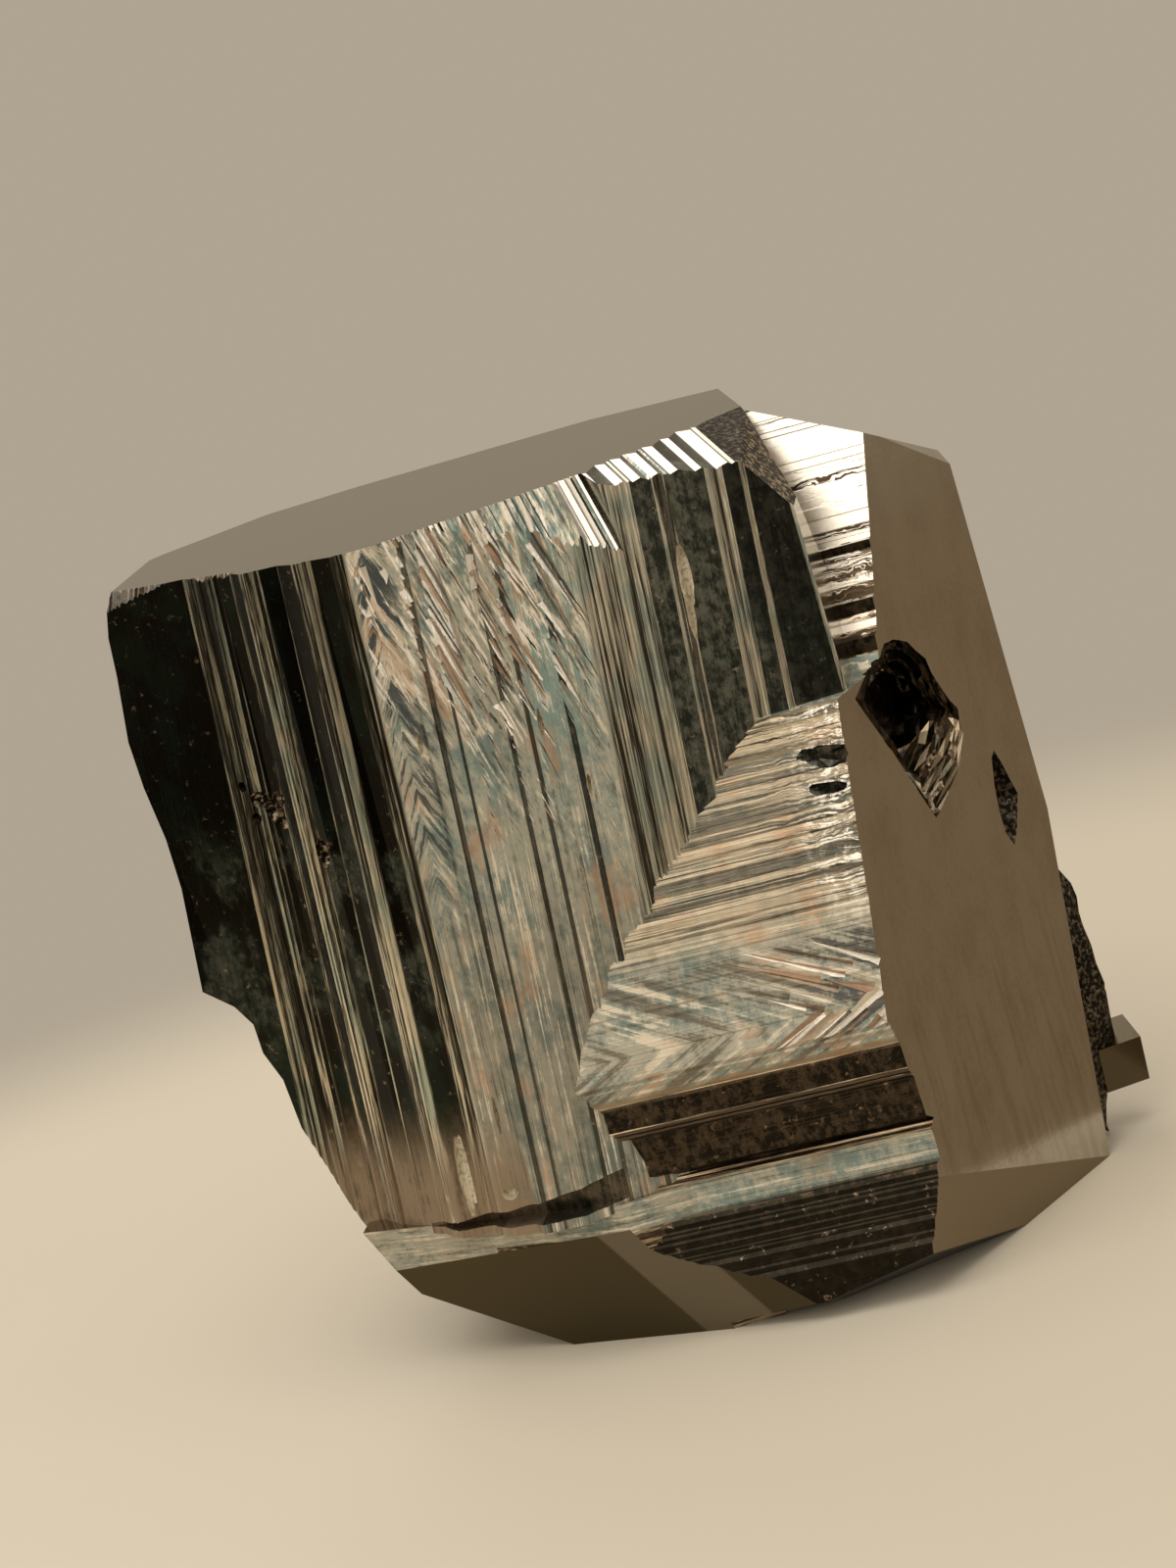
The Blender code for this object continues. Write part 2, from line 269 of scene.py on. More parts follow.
def front_at(x):
    """How far forward the front of the upright crystal stands at that x."""
    before = UPRIGHT_START
    for end, *_ in UPRIGHT_RUNS:
        if end[0] >= x:
            return before[1] + (end[1] - before[1]) * (x - before[0]) / (end[0] - before[0])
        before = end
    return before[1]


def part_way(value, start, end):
    """0 as far as start and 1 from end on, evenly between."""
    return min(1.0, max(0.0, (value - start) / (end - start)))


def leaned(x, y, z):
    """The steps of the front lean a little, about a line that rises from LEAN_FROM to the left."""
    lean = STEP_LEAN * part_way(x, *LEAN_RIGHT) + LEFT_LEAN * part_way(x, *LEAN_LEFT)
    there = x + lean * (z - LEAN_FROM + LEAN_TURN * x)
    return there, y + front_at(there) - front_at(x)


corners, grown = steps(UPRIGHT_START, UPRIGHT_RUNS)
crystal = push_through("pyrite_specimen", corners + list(UPRIGHT_REAR), UPRIGHT_FOOT, TOP, upright)
mark_front(crystal, grown, 0, UPRIGHT_STEPS)
front_ends = {(round(x, 3), round(y, 3)) for x, y in corners}
for corner in crystal.data.vertices:
    if (round(corner.co.x, 3), round(corner.co.y, 3)) in front_ends:
        corner.co.x, corner.co.y = leaned(*corner.co)
flat_faces(crystal)
cleave(crystal, (TOP_END_FACE, END_CORNER_FACE), GLINTING_MARK)
left_of_crystal = push_through("left_of_crystal", LEFT_OUTLINE, -CLEAR, CLEAR, front_view)
mark_all(left_of_crystal, LEFT_MARK)
combine(crystal, [left_of_crystal], "DIFFERENCE")

# ---------------------------------------------------------------------------------------
# The fluted edges: where the steps of the front run out against the top face, the edge
# between them grew as slanting flutes, bright facets and dark ones by turns: painted highlight on the facets
# that rise and painted shade on those that fall.

# Each fluted edge: from where to where it runs, which way its flutes run and face, how far
LEFT_EDGE = ((-16.63, -1.8, 34.11), (-5.2, -7.83, 34.11), (0.0, -0.797, -0.604), (-0.304, -0.575, 0.759), 3.0)
CENTRE_EDGE = ((-3.7, -8.25, 34.12), (4.44, -4.28, 34.12), (0.30, -0.42, -0.86), (0.377, -0.775, 0.507), 6.0)
RIGHT_EDGE = ((3.0, -4.6, 34.25), (12.4, -3.0, 32.95), (0.40, -0.88, -0.22), (0.161, -0.178, 0.971), 9.0)
LEFT_FLUTE_COUNT, CENTRE_FLUTE_COUNT = 44, 34
FLUTE_HOLD = 6.0  # thickness of the cutters above their flutes

# Width, rise and darkness of the flutes' facets at the right; the darkness is painted shade on the facets
# that fall, and those that rise stay bright as painted highlight
ROUGH_FLUTE = 2.0
RIGHT_FLUTES = (
    (0.55, 0.10, 0.0), (0.30, -0.10, 1.0), (0.14, 0.04, 0.1), (0.16, -0.05, 0.9), (0.16, 0.06, 0.0),
    (0.10, -0.03, 0.9), (0.38, 0.12, 0.0), (0.75, -0.20, 1.0), (0.34, 0.13, 0.0), (0.18, -0.08, 0.9),
    (0.10, 0.03, 0.2), (0.14, -0.05, 0.9), (0.34, 0.13, 0.0), (0.30, -0.12, 1.0), (0.14, 0.04, 0.5),
    (0.34, 0.12, 0.0), (0.26, -0.10, 0.9), (0.10, 0.03, 0.4), (0.14, -0.05, 1.0), (0.34, 0.13, 0.0),
    (0.70, -0.16, 1.0), (0.28, 0.10, 0.0), (0.62, -0.16, 1.0), (0.52, 0.18, 0.0), (0.16, -0.08, 0.9),
    (0.14, 0.06, 0.2), (0.60, -0.08, ROUGH_FLUTE), (2.20, -0.04, ROUGH_FLUTE),
)


def comb(name, flutes, start, end, run, out, reach):
    """A cutter with a fluted underside, from start to end, that is pushed along the run."""
    start, end, run, out = Vector(start), Vector(end), Vector(run).normalized(), Vector(out)
    across = end - start
    across = across - run * across.dot(run)
    width = across.length
    across.normalize()
    out = run.cross(across) if run.cross(across).dot(out) > 0.0 else across.cross(run)
    share = width / sum(flute[0] for flute in flutes)
    outline, grown, along, height = [(0.0, 0.0)], [], 0.0, 0.0
    for step, rise, dark in flutes:
        along, height = along + step * share, height + rise
        outline.append((along, height))
        grown.append((along, growth.random(), dark))
    outline += [(width, FLUTE_HOLD), (0.0, FLUTE_HOLD)]
    cut = push_through(name, outline, -reach, reach, lambda u, v, w: start + across * u + out * v + run * w)
    for face in cut.data.polygons:
        if face.normal.dot(out) <= -0.2:
            tone, dark = facet_of(grown, (face.center - start).dot(across))
            mark_face(cut, face, (tone, min(dark, 1.0), ROUGH_BREAK if dark == ROUGH_FLUTE else FLUTED))
    return cut


# The facets that rise are mostly left bright and those that fall mostly dark: painted highlight and painted
# shade
centre_flutes = []
for _ in range(CENTRE_FLUTE_COUNT):
    size = growth.choice((0.05, 0.08, 0.12, 0.25))
    centre_flutes.append((growth.uniform(0.08, 0.20) + size * 0.6, size, growth.choice((0.0, 0.0, 0.0, 0.4))))
    centre_flutes.append((growth.uniform(0.05, 0.14) + size * 0.3, -size, growth.choice((0.4, 0.9, 1.0))))
left_flutes = []
for _ in range(LEFT_FLUTE_COUNT):
    size = growth.uniform(0.04, 0.12)
    left_flutes.append((growth.uniform(0.08, 0.24), size, growth.choice((0.0, 0.2, 0.6))))
    left_flutes.append((growth.uniform(0.06, 0.22), -size, growth.choice((0.7, 1.0))))
left_cut = comb("left_flutes", left_flutes, *LEFT_EDGE)
centre_cut = comb("centre_flutes", centre_flutes, *CENTRE_EDGE)
right_cut = comb("right_flutes", RIGHT_FLUTES, *RIGHT_EDGE)
combine(crystal, [left_cut, centre_cut, right_cut], "DIFFERENCE")

# ---------------------------------------------------------------------------------------
# The plumes: in the middle of the front the crystal grew in feathers. Long tapered
# furrows fan out below the flutes and die away downwards, and arch over at the left.

PLUME_STRIPS = ((-3.2, -2.5), (-2.5, -0.7), (-0.7, 0.07), (0.07, 1.6), (1.6, 3.3))
PLUME_TOP, PLUME_END = 36.5, 22.5
PLUME_LEAN = 0.31 / 0.96
PLUME_PITCH, PLUME_SEED, PLUME_FADE = 0.55, 1, 7.0
ARCH_COUNT, ARCH_BOLD_COUNT, ARCH_TOP, ARCH_PITCH = 15, 9, 33.6, 0.95
ARCH_X = (-5.25, -4.65, -4.05)
FURROW_WIDTH, FURROW_DEPTH = 0.19, 0.14
# The needles' mark has a high tone, which paints them white as highlight
NEEDLE_SIZE, NEEDLE_MARK = 1.2, (0.95, 0.0, FEATHERED)
NEEDLES = (
    (1.4, 33.9, 3.0, 31.2), (2.9, 34.1, 3.9, 32.5), (-3.7, 33.1, -2.9, 28.7), (-1.8, 30.5, -1.3, 26.4),
    (-0.8, 26.7, -0.1, 24.7), (-4.6, 33.4, -4.1, 30.8), (-0.6, 32.6, -1.0, 28.9), (-2.6, 30.7, -1.6, 26.9),
)


def furrow(start, end, out, width, depth):
    """A long four-sided cone lying in the surface, wide at its start, to cut a furrow."""
    start, end, out = Vector(start), Vector(end), Vector(out)
    run = (end - start).normalized()
    out = (out - run * out.dot(run)).normalized()
    turned = Matrix((out.cross(run), out, run)).transposed().to_euler()
    bpy.ops.mesh.primitive_cone_add(
        vertices=4, radius1=1.0, radius2=0.0, depth=(end - start).length, location=(start + end) / 2.0,
        rotation=turned, scale=(width, depth, 1.0),
    )
    return bpy.context.object


def joined(name, parts, darkness, kind):
    """Makes one object of the parts, and gives each face some tone and one of the darknesses."""
    for part in parts:
        part.select_set(True)
    bpy.context.view_layer.objects.active = parts[0]
    bpy.ops.object.join()
    obj = bpy.context.object
    obj.name = name
    bpy.ops.object.transform_apply(location=True, rotation=True, scale=True)
    obj.data.attributes.new("growth", "FLOAT_VECTOR", "FACE")
    for face in obj.data.polygons:
        mark_face(obj, face, (growth.uniform(0.1, 1.0), growth.choice(darkness), kind))
    return obj


def front_furrow(x, z, far_x, far_z, size):
    return furrow(
        (*leaned(x, front_at(x) - 0.03, z), z), (*leaned(far_x, front_at(far_x) - 0.02, far_z), far_z),
        (0.1, -1.0, 0.0), FURROW_WIDTH * size, FURROW_DEPTH * size,
    )


growth.seed(PLUME_SEED)
furrows = []
for left, right in PLUME_STRIPS:
    z = PLUME_TOP
    while z > PLUME_END:
        z -= PLUME_PITCH * growth.uniform(0.6, 1.4)
        strength = min(max((z - PLUME_END) / PLUME_FADE, 0.25), 1.0) * growth.uniform(0.6, 1.3)
        drop = (right - left) / PLUME_LEAN * growth.uniform(0.8, 1.2)
        furrows.append(front_furrow(left, z, right, z - drop, strength))
for arch in range(ARCH_COUNT):
    z = ARCH_TOP - ARCH_PITCH * (arch + growth.uniform(-0.3, 0.3))
    strength = growth.uniform(0.7, 1.2) * (1.0 if arch < ARCH_BOLD_COUNT else 0.6)
    left, top, right = ARCH_X
    furrows.append(front_furrow(top - 0.07, z - 0.03, left, z - growth.uniform(0.6, 1.0), strength))
    furrows.append(front_furrow(top, z, right, z - growth.uniform(2.2, 3.4), strength))
plain = len(furrows)
furrows += [front_furrow(*needle, NEEDLE_SIZE) for needle in NEEDLES]
furrows = joined("furrows", furrows, (0.0, 0.0, 0.25, 0.6), FEATHERED)
cone_faces = len(furrows.data.polygons) // (plain + len(NEEDLES))
for face in furrows.data.polygons[plain * cone_faces:]:
    mark_face(furrows, face, NEEDLE_MARK)
combine(crystal, [furrows], "DIFFERENCE", True)

# ---------------------------------------------------------------------------------------
# The cross crystal: the second crystal, which passes through the upright one. Its steps
# run level, it ends at the right in a large smooth face that leans 1 in 2, and below it
# spreads out as the slab that the upright crystal stands on.

CROSS_START, CLEAN_ABOVE = (BASE - 0.2, -8.3), 23.2

# Front in profile: where a run ends (z, y), its steps, the slopes of tread and riser, darkness
CROSS_RUNS = (
    ((1.3, -8.3), 0, 0.0, 0.0, 1.0),
    ((2.6, -7.8), 3, 0.1, 1.0, 1.0),
    ((3.6, -7.5), 4, 0.1, 0.9, 1.0),
    ((4.4, -7.3), 3, 0.1, 0.5, 1.0),
    ((4.5, -7.05), 0, 0.0, 0.0, 0.4),
    ((5.75, -7.05), 1, 0.02, -0.1, 0.0),
    ((6.1, -6.7), 2, 0.3, 2.0, 0.3),
    ((6.4, -7.1), 0, 0.0, 0.0, 0.9),
    ((8.1, -7.15), 0, 0.0, 0.0, 0.95),
    ((8.6, -7.35), 3, -0.9, 0.3, 0.2),
    ((9.5, -7.38), 0, 0.0, 0.0, 0.9),
    ((9.7, -7.4), 1, -0.08, 0.1, 0.6),
    ((10.8, -7.7), 3, -0.4, 0.1, 0.2),
    ((15.7, -6.72), 9, 0.25, -0.15, 0.1),
    ((20.0, -5.86), 13, 0.30, -0.2, 0.1),
    ((23.1, -5.24), 9, 0.32, -0.2, 0.1),
    ((23.35, -2.27), 0, 0.0, 0.0, 0.9),
    ((23.9, -2.083), 1, 0.36, 0.2, 0.0),
    ((24.6, -1.842), 1, 0.02, 2.0, 0.95),
    ((25.4, -1.567), 3, 0.42, -0.5, 0.0),
    ((26.0, -1.361), 1, 0.05, 2.0, 0.95),
    ((27.7, -0.776), 6, 0.42, -0.4, 0.15),
    ((28.1, -0.638), 1, 0.05, 2.0, 0.9),
    ((28.7, -0.432), 3, 0.42, -0.4, 0.2),
    ((TOP - 0.2, 1.357), 13, 0.40, -0.3, 0.0),
)
CROSS_BACK, CROSS_LEFT, CROSS_RIGHT, CROSS_UNEVEN = 8.7, -3.6, 18.0, 0.08
RIGHT_FACE = ((10.56, -7.7, 10.8), (2.0, -1.0, 0.0))
REAR_RIGHT_FACE = ((17.1, 5.4, 20.0), (1.0, 2.0, 0.0))
CROSS_TOP_FACE = ((14.66, 0.7, 31.99), (0.432, 0.233, 0.872))
CROSS_CORNER_FACE = ((17.1, 5.3, 29.0), (0.85, -0.1, 0.5))
LOWER_RIGHT_FACE = ((11.33, -6.16, 3.35), (0.864, -0.488, -0.128))
LOWER_REAR_FACE = ((17.1, 5.35, 13.7), (0.447, 0.894, -0.175))
LOWER_FRONT_FACE = ((6.0, -8.3, 0.3), (0.198, -0.394, -0.898))
FRONT_FOOT_FACE = ((2.0, -8.3, 0.1), (0.0, -0.371, -0.928))
OLIVE_FACE = ((-11.46, -5.2, 5.1), (-0.257, -0.934, -0.251))
LOWER_LEFT_FACES = (
    ((-14.2, -5.0, 6.4), (-0.885, 0.0, -0.466)),
    ((-12.0, -5.0, 2.5), (-0.494, 0.0, -0.869)),
)
REAR_LOWER_FACE = ((0.0, 8.9, 5.0), (0.1, 2.0, -1.0))
SLAB_OUTLINE = ((-15.6, -3.7), (-1.9, -7.7), (0.6, -7.1), (3.0, -6.6), (4.0, 8.3), (-9.0, 7.6), (-14.4, 3.5))
SLAB_TOP = 5.75
# The olive, underside and foot marks are dark: painted shade on faces that look down
DULL_MARK, OLIVE_SHADE_MARK, UNDER_SHADE_MARK = (0.0, 0.5, 0.0), (0.0, 1.0, 0.0), (0.0, 0.9, 0.0)
FOOT_SHADE_MARK, LEDGE_MARK = (0.5, 0.9, LEVEL_STEPS), (0.4, 0.2, LEVEL_STEPS)


def crosswise(z, y, x):
    return Vector((x, y, z))


corners, grown = steps(CROSS_START, CROSS_RUNS, CROSS_UNEVEN)
rear = [(corners[-1][0], CROSS_BACK), (CROSS_START[0], CROSS_BACK)]
cross = push_through("cross_crystal", corners + rear, CROSS_LEFT, CROSS_RIGHT, crosswise)
mark_front(cross, grown, 2, LEVEL_STEPS, CLEAN_ABOVE)
cleave(cross, (RIGHT_FACE, REAR_RIGHT_FACE, CROSS_TOP_FACE, CROSS_CORNER_FACE))
cleave(cross, (LOWER_REAR_FACE, REAR_LOWER_FACE))
cleave(cross, (LOWER_RIGHT_FACE,), DULL_MARK)
cleave(cross, (LOWER_FRONT_FACE, FRONT_FOOT_FACE), FOOT_SHADE_MARK)
cleave(cross, (OLIVE_FACE,), OLIVE_SHADE_MARK)
slab = push_through("slab", SLAB_OUTLINE, CROSS_START[0], SLAB_TOP, upright)
for face in slab.data.polygons:
    if face.normal.y < -0.9:
        mark_face(slab, face, LEDGE_MARK)
cleave(slab, (OLIVE_FACE,), OLIVE_SHADE_MARK)
cleave(slab, LOWER_LEFT_FACES, UNDER_SHADE_MARK)
cleave(slab, (REAR_LOWER_FACE,))

# ---------------------------------------------------------------------------------------
# The level plumes: low on the cross crystal's front its growth bent into arrowheads, one
# inside the other, that point at the right face and catch the light in copper lines.

ARROW_TIP, ARROW_COUNT = (8.2, 11.6), 5
ARROW_UPPER, ARROW_LOWER = (-0.91, 0.42), (-0.88, -0.47)
ARROW_STEP_UPPER, ARROW_STEP_LOWER = (0.42, 0.40), (0.40, -0.07)
ARROW_LEG = 7.0
ARROW_BOLD = 1.5
ARROW_LINES = (
    (10.9, 13.1, 8.0, 14.6), (10.4, 12.1, 8.0, 13.0), (8.4, 12.9, 5.0, 14.3), (8.2, 11.6, 6.6, 12.5),
    (7.0, 12.4, 3.0, 13.9), (8.2, 11.6, 3.9, 9.7), (10.6, 12.0, 6.4, 9.7), (10.4, 10.9, 8.6, 9.7),
)
BAND_FOOT, BAND_FRONT, BAND_SLOPE = 10.8, -7.72, 0.2


def level_front(z):
    """How far forward the front of the cross crystal stands at that height."""
    return BAND_FRONT + BAND_SLOPE * (z - BAND_FOOT)


def level_furrow(x, z, far_x, far_z, size):
    start, end = ((u, level_front(v), v) for u, v in ((x, z), (far_x, far_z)))
    return furrow(start, end, (0.0, -0.98, BAND_SLOPE), FURROW_WIDTH * size, FURROW_DEPTH * size)


arrows = [level_furrow(*line, ARROW_BOLD) for line in ARROW_LINES]
for place in range(ARROW_COUNT):
    for leg, step in ((ARROW_UPPER, ARROW_STEP_UPPER), (ARROW_LOWER, ARROW_STEP_LOWER)):
        x, z = (ARROW_TIP[i] + step[i] * place * growth.uniform(0.9, 1.1) for i in range(2))
        length = ARROW_LEG * growth.uniform(0.6, 1.0)
        arrows.append(level_furrow(x, z, x + leg[0] * length, z + leg[1] * length, growth.uniform(0.6, 1.3)))
arrows = joined("arrows", arrows, (0.0, 0.2, 0.4), LEVEL_FEATHERED)
combine(cross, [arrows], "DIFFERENCE", True)

# ---------------------------------------------------------------------------------------
# Growth plates on the back: thin sheets of the same pyrite that stand a little proud of
# one another, each with two stepped long edges.

# Each plate: its left, right, lower and upper edges, and how far it stands proud
BACK_PLATES = ((-11.0, 3.5, 7.5, 27.5, 0.35), (-5.0, 7.0, 13.0, 31.0, 0.7), (5.0, 11.5, 4.0, 19.0, 0.5))
PLATE_ROOT, PLATE_LEDGE = 6.0, 0.45
plates = []
for low_x, high_x, low_z, high_z, proud in BACK_PLATES:
    for ledge in range(2):
        inset = PLATE_LEDGE * ledge
        left, right = low_x + inset, high_x - inset
        low, high = low_z + inset, high_z - inset
        depth = CROSS_BACK + proud * (0.6 + 0.4 * ledge)
        edge = ((left, low), (right, low), (right, high), (left, high))
        plates.append(push_through("back_plate", edge, PLATE_ROOT, depth, front_view))

# ---------------------------------------------------------------------------------------
# The broken strip and the small crystal: low down behind the right face, where other
# crystals broke away, a rough strip is left, and one small crystal still sits on it.

STRIP_CENTRE, STRIP_RADIUS, STRIP_HEIGHT = (15.3, 6.0, 6.6), 1.9, 14.4
SMALL_CENTRE, SMALL_SIZE = (16.9, 6.4, 2.5), (1.9, 2.2, 2.1)
SMALL_TURN, SMALL_TILT = math.radians(20.0), math.radians(12.0)
STRIP_MARK, SMALL_MARK = (0.5, 0.5, ROUGH_BREAK), (0.0, 0.85, 0.0)
STRIP_LUMPS, STRIP_GRAIN = 0.12, 0.22

bpy.ops.mesh.primitive_ico_sphere_add(subdivisions=3, radius=1.0)
strip = bpy.context.object
strip.name = "broken_strip"
edit_all()
bpy.ops.transform.vertex_random(offset=STRIP_LUMPS, seed=3)
bpy.ops.mesh.subdivide()
bpy.ops.transform.resize(value=(STRIP_RADIUS, STRIP_RADIUS, STRIP_HEIGHT / 2.0))
bpy.ops.transform.vertex_random(offset=STRIP_GRAIN, seed=5)
bpy.ops.transform.translate(value=STRIP_CENTRE)
bpy.ops.object.mode_set(mode="OBJECT")
strip.data.attributes.new("growth", "FLOAT_VECTOR", "FACE")
mark_all(strip, STRIP_MARK)

bpy.ops.mesh.primitive_cube_add(size=1.0)
small = bpy.context.object
small.name = "small_crystal"
turned = Matrix.Rotation(SMALL_TURN, 4, "Z") @ Matrix.Rotation(SMALL_TILT, 4, "X")
small.data.transform(Matrix.Translation(SMALL_CENTRE) @ turned @ Matrix.Diagonal((*SMALL_SIZE, 1.0)))
small.data.attributes.new("growth", "FLOAT_VECTOR", "FACE")
mark_all(small, SMALL_MARK)

# ---------------------------------------------------------------------------------------
# The hollows: a stepped pit and a narrow slit grown into the right face, and a wedge
# between the foot of the upright crystal and the slab under it. Their insides are painted dark in places, as
# painted shade.

PIT_OUTLINE = (
    (3.95, 22.7), (4.8, 20.9), (5.25, 20.0), (6.85, 16.5), (7.3, 16.7), (9.45, 17.8), (10.3, 19.0),
    (10.35, 19.9), (9.75, 20.8), (9.3, 21.9), (9.2, 22.5), (8.3, 23.6), (7.4, 23.95), (6.8, 24.0),
    (6.25, 23.6), (5.5, 23.6),
)
PIT_STEPS = ((0.3, 0.97), (0.0, 0.84), (0.45, 0.8), (0.0, 0.66), (0.6, 0.62), (0.0, 0.5), (0.9, 0.42))
PIT_HEART = (8.4, 21.2)
PIT_DARK_ABOVE, PIT_DARK_BELOW, PIT_UNEVEN, PIT_TURNED = 19.6, 1.3, 0.12, 0.3
SLIT_OUTLINE = (
    (12.05, 17.5), (11.75, 17.3), (11.4, 16.2), (11.25, 15.2), (11.25, 14.2), (11.6, 13.5),
    (12.1, 14.0), (12.85, 15.3), (12.6, 16.0), (12.35, 16.8),
)
SLIT_STEPS = ((0.35, 0.9), (0.65, 0.35))
SLIT_HEART = (11.75, 15.3)
HOLLOW_PROUD = 0.5
GOLDEN, DULLED, PAINTED_SHADE_MARK = (0.6, 0.1, LEVEL_STEPS), (0.6, 0.35, FLUTED), (0.5, 1.0, FLUTED)
GRAINY = (0.6, 0.5, ROUGH_BREAK)
right_out = Vector(RIGHT_FACE[1]).normalized()
right_along = Vector((-right_out.y, right_out.x, 0.0))


def on_right_face(along, z, out):
    foot = Vector((RIGHT_FACE[0][0], RIGHT_FACE[0][1], 0.0))
    return foot + right_along * along + right_out * out + Vector((0.0, 0.0, z))


def hollow(name, outline, steps_in, heart):
    """A cutter from in front of the right face that goes in step by step towards its heart."""
    obj = push_through(name, outline, HOLLOW_PROUD, 0.0, on_right_face)
    ends = [face for face in obj.data.polygons if len(face.vertices) == len(outline)]
    inner = min(ends, key=lambda face: face.center.dot(right_out)).index
    bpy.ops.object.mode_set(mode="EDIT")
    bpy.ops.mesh.select_mode(type="FACE")
    bpy.ops.mesh.select_all(action="DESELECT")
    bpy.ops.object.mode_set(mode="OBJECT")
    obj.data.polygons[inner].select = True
    bpy.ops.object.mode_set(mode="EDIT")
    reached, width = 0.0, 1.0
    for further, narrower in steps_in:
        reached += further
        bpy.ops.mesh.extrude_region_move(TRANSFORM_OT_translate={"value": right_out * -further})
        shrink = (narrower / width,) * 3
        bpy.ops.transform.resize(value=shrink, center_override=on_right_face(*heart, -reached))
        width = narrower
    bpy.ops.mesh.select_all(action="SELECT")
    bpy.ops.mesh.normals_make_consistent(inside=False)
    bpy.ops.mesh.select_mode(type="VERT")
    settle(obj)
    return obj


# The pit's points are sorted, so that the seed shifts them the same way every time
pit = hollow("pit", PIT_OUTLINE, PIT_STEPS, PIT_HEART)
edit_all()
bpy.ops.mesh.quads_convert_to_tris()
bpy.ops.mesh.subdivide()
bpy.ops.mesh.sort_elements(type="CURSOR_DISTANCE", elements={"VERT", "FACE"})
bpy.ops.transform.vertex_random(offset=PIT_UNEVEN, seed=4)
bpy.ops.object.mode_set(mode="OBJECT")
slit = hollow("slit", SLIT_OUTLINE, SLIT_STEPS, SLIT_HEART)
# The pit's upper and deep faces are painted dark as its shade; those turned from the right get golden, dull
# or dark marks at random and the rest a dull mark, as painted light and shade
for face in pit.data.polygons:
    sunk = (on_right_face(0.0, 0.0, 0.0) - face.center).dot(right_out)
    deep = face.center.z > PIT_DARK_ABOVE or sunk > PIT_DARK_BELOW
    turned = face.normal.dot(right_along) < PIT_TURNED
    value = growth.choice((GOLDEN, GOLDEN, DULLED, PAINTED_SHADE_MARK)) if turned else DULL_MARK
    mark_face(pit, face, PAINTED_SHADE_MARK if deep else value)
# The slit's wall that faces back along the right face is painted dark as shade, the other grainy
for face in slit.data.polygons:
    mark_face(slit, face, PAINTED_SHADE_MARK if face.normal.dot(right_along) < 0.0 else GRAINY)

GROOVE_OUTLINE = ((-11.6, 5.7), (-4.0, 6.85), (-1.4, 7.1), (0.9, 6.9), (0.9, 6.25), (-2.0, 5.8))
GROOVE_WALL = ((-9.1, -5.6, 0.0), (0.288, 1.0, 0.0))
GROOVE_TURN = (-3.2, -7.3, 0.0)
GROOVE_OVERLAP = 0.01
# The groove's faces are marked dark, as painted shade in the wedge
GROOVE_SHADE_MARK, GROOVE_WALL_SHADE_MARK = (0.5, 0.7, FLUTED), (0.5, 0.9, FLUTED)
groove_left = push_through("groove_left", GROOVE_OUTLINE, -CLEAR, 0.0, front_view)
mark_all(groove_left, GROOVE_SHADE_MARK)
cleave(groove_left, (GROOVE_WALL, (GROOVE_TURN, (1.0, 0.0, 0.0))), GROOVE_WALL_SHADE_MARK)
groove_right = push_through("groove_right", GROOVE_OUTLINE, -CLEAR, 0.0, front_view)
mark_all(groove_right, GROOVE_SHADE_MARK)
groove_end = ((GROOVE_TURN[0] - GROOVE_OVERLAP, 0.0, 0.0), (-1.0, 0.0, 0.0))
cleave(groove_right, ((GROOVE_TURN, (0.0, 1.0, 0.0)), groove_end), GROOVE_WALL_SHADE_MARK)
groove = combine(groove_left, [groove_right], "UNION")

# ---------------------------------------------------------------------------------------
# Chips: small shallow scars in the steps of the front where the brittle pyrite broke, pale
# where the break is clean, rough where it ran across many steps, and dark in some as painted shade.

PALE, ROUGH = (0.9, 0.0, FRESH_BREAK), (0.9, 0.5, ROUGH_BREAK)
CHIP_DEPTH, CHIP_UNEVEN = 0.45, 0.35

# Each chip: its place (x, z), half its width and height, and its mark
CHIPS = (
    (7.0, 29.4, 0.26, 1.3, PALE), (6.95, 28.2, 0.16, 1.5, PALE), (-12.2, 25.3, 0.40, 0.35, ROUGH),
    (-11.7, 24.7, 0.45, 0.40, ROUGH), (-11.3, 24.2, 0.35, 0.55, ROUGH), (-10.9, 24.6, 0.35, 0.40, ROUGH),
    (-11.9, 23.9, 0.40, 0.30, ROUGH), (-10.9, 23.7, 0.25, 0.50, ROUGH), (-17.2, 15.9, 0.60, 0.30, ROUGH),
    (-9.2, 22.3, 0.30, 0.80, ROUGH), (-8.0, 16.4, 0.55, 0.40, ROUGH), (-3.9, 26.0, 0.12, 0.5, PALE),
    (0.6, 25.4, 0.12, 0.7, PALE), (1.9, 22.5, 0.10, 0.5, PALE), (9.5, 21.9, 0.65, 0.30, PAINTED_SHADE_MARK),
    (-6.2, 8.1, 0.30, 1.8, PALE), (-4.5, 7.2, 0.40, 0.26, PALE), (-4.3, 10.5, 0.10, 0.9, PALE),
)
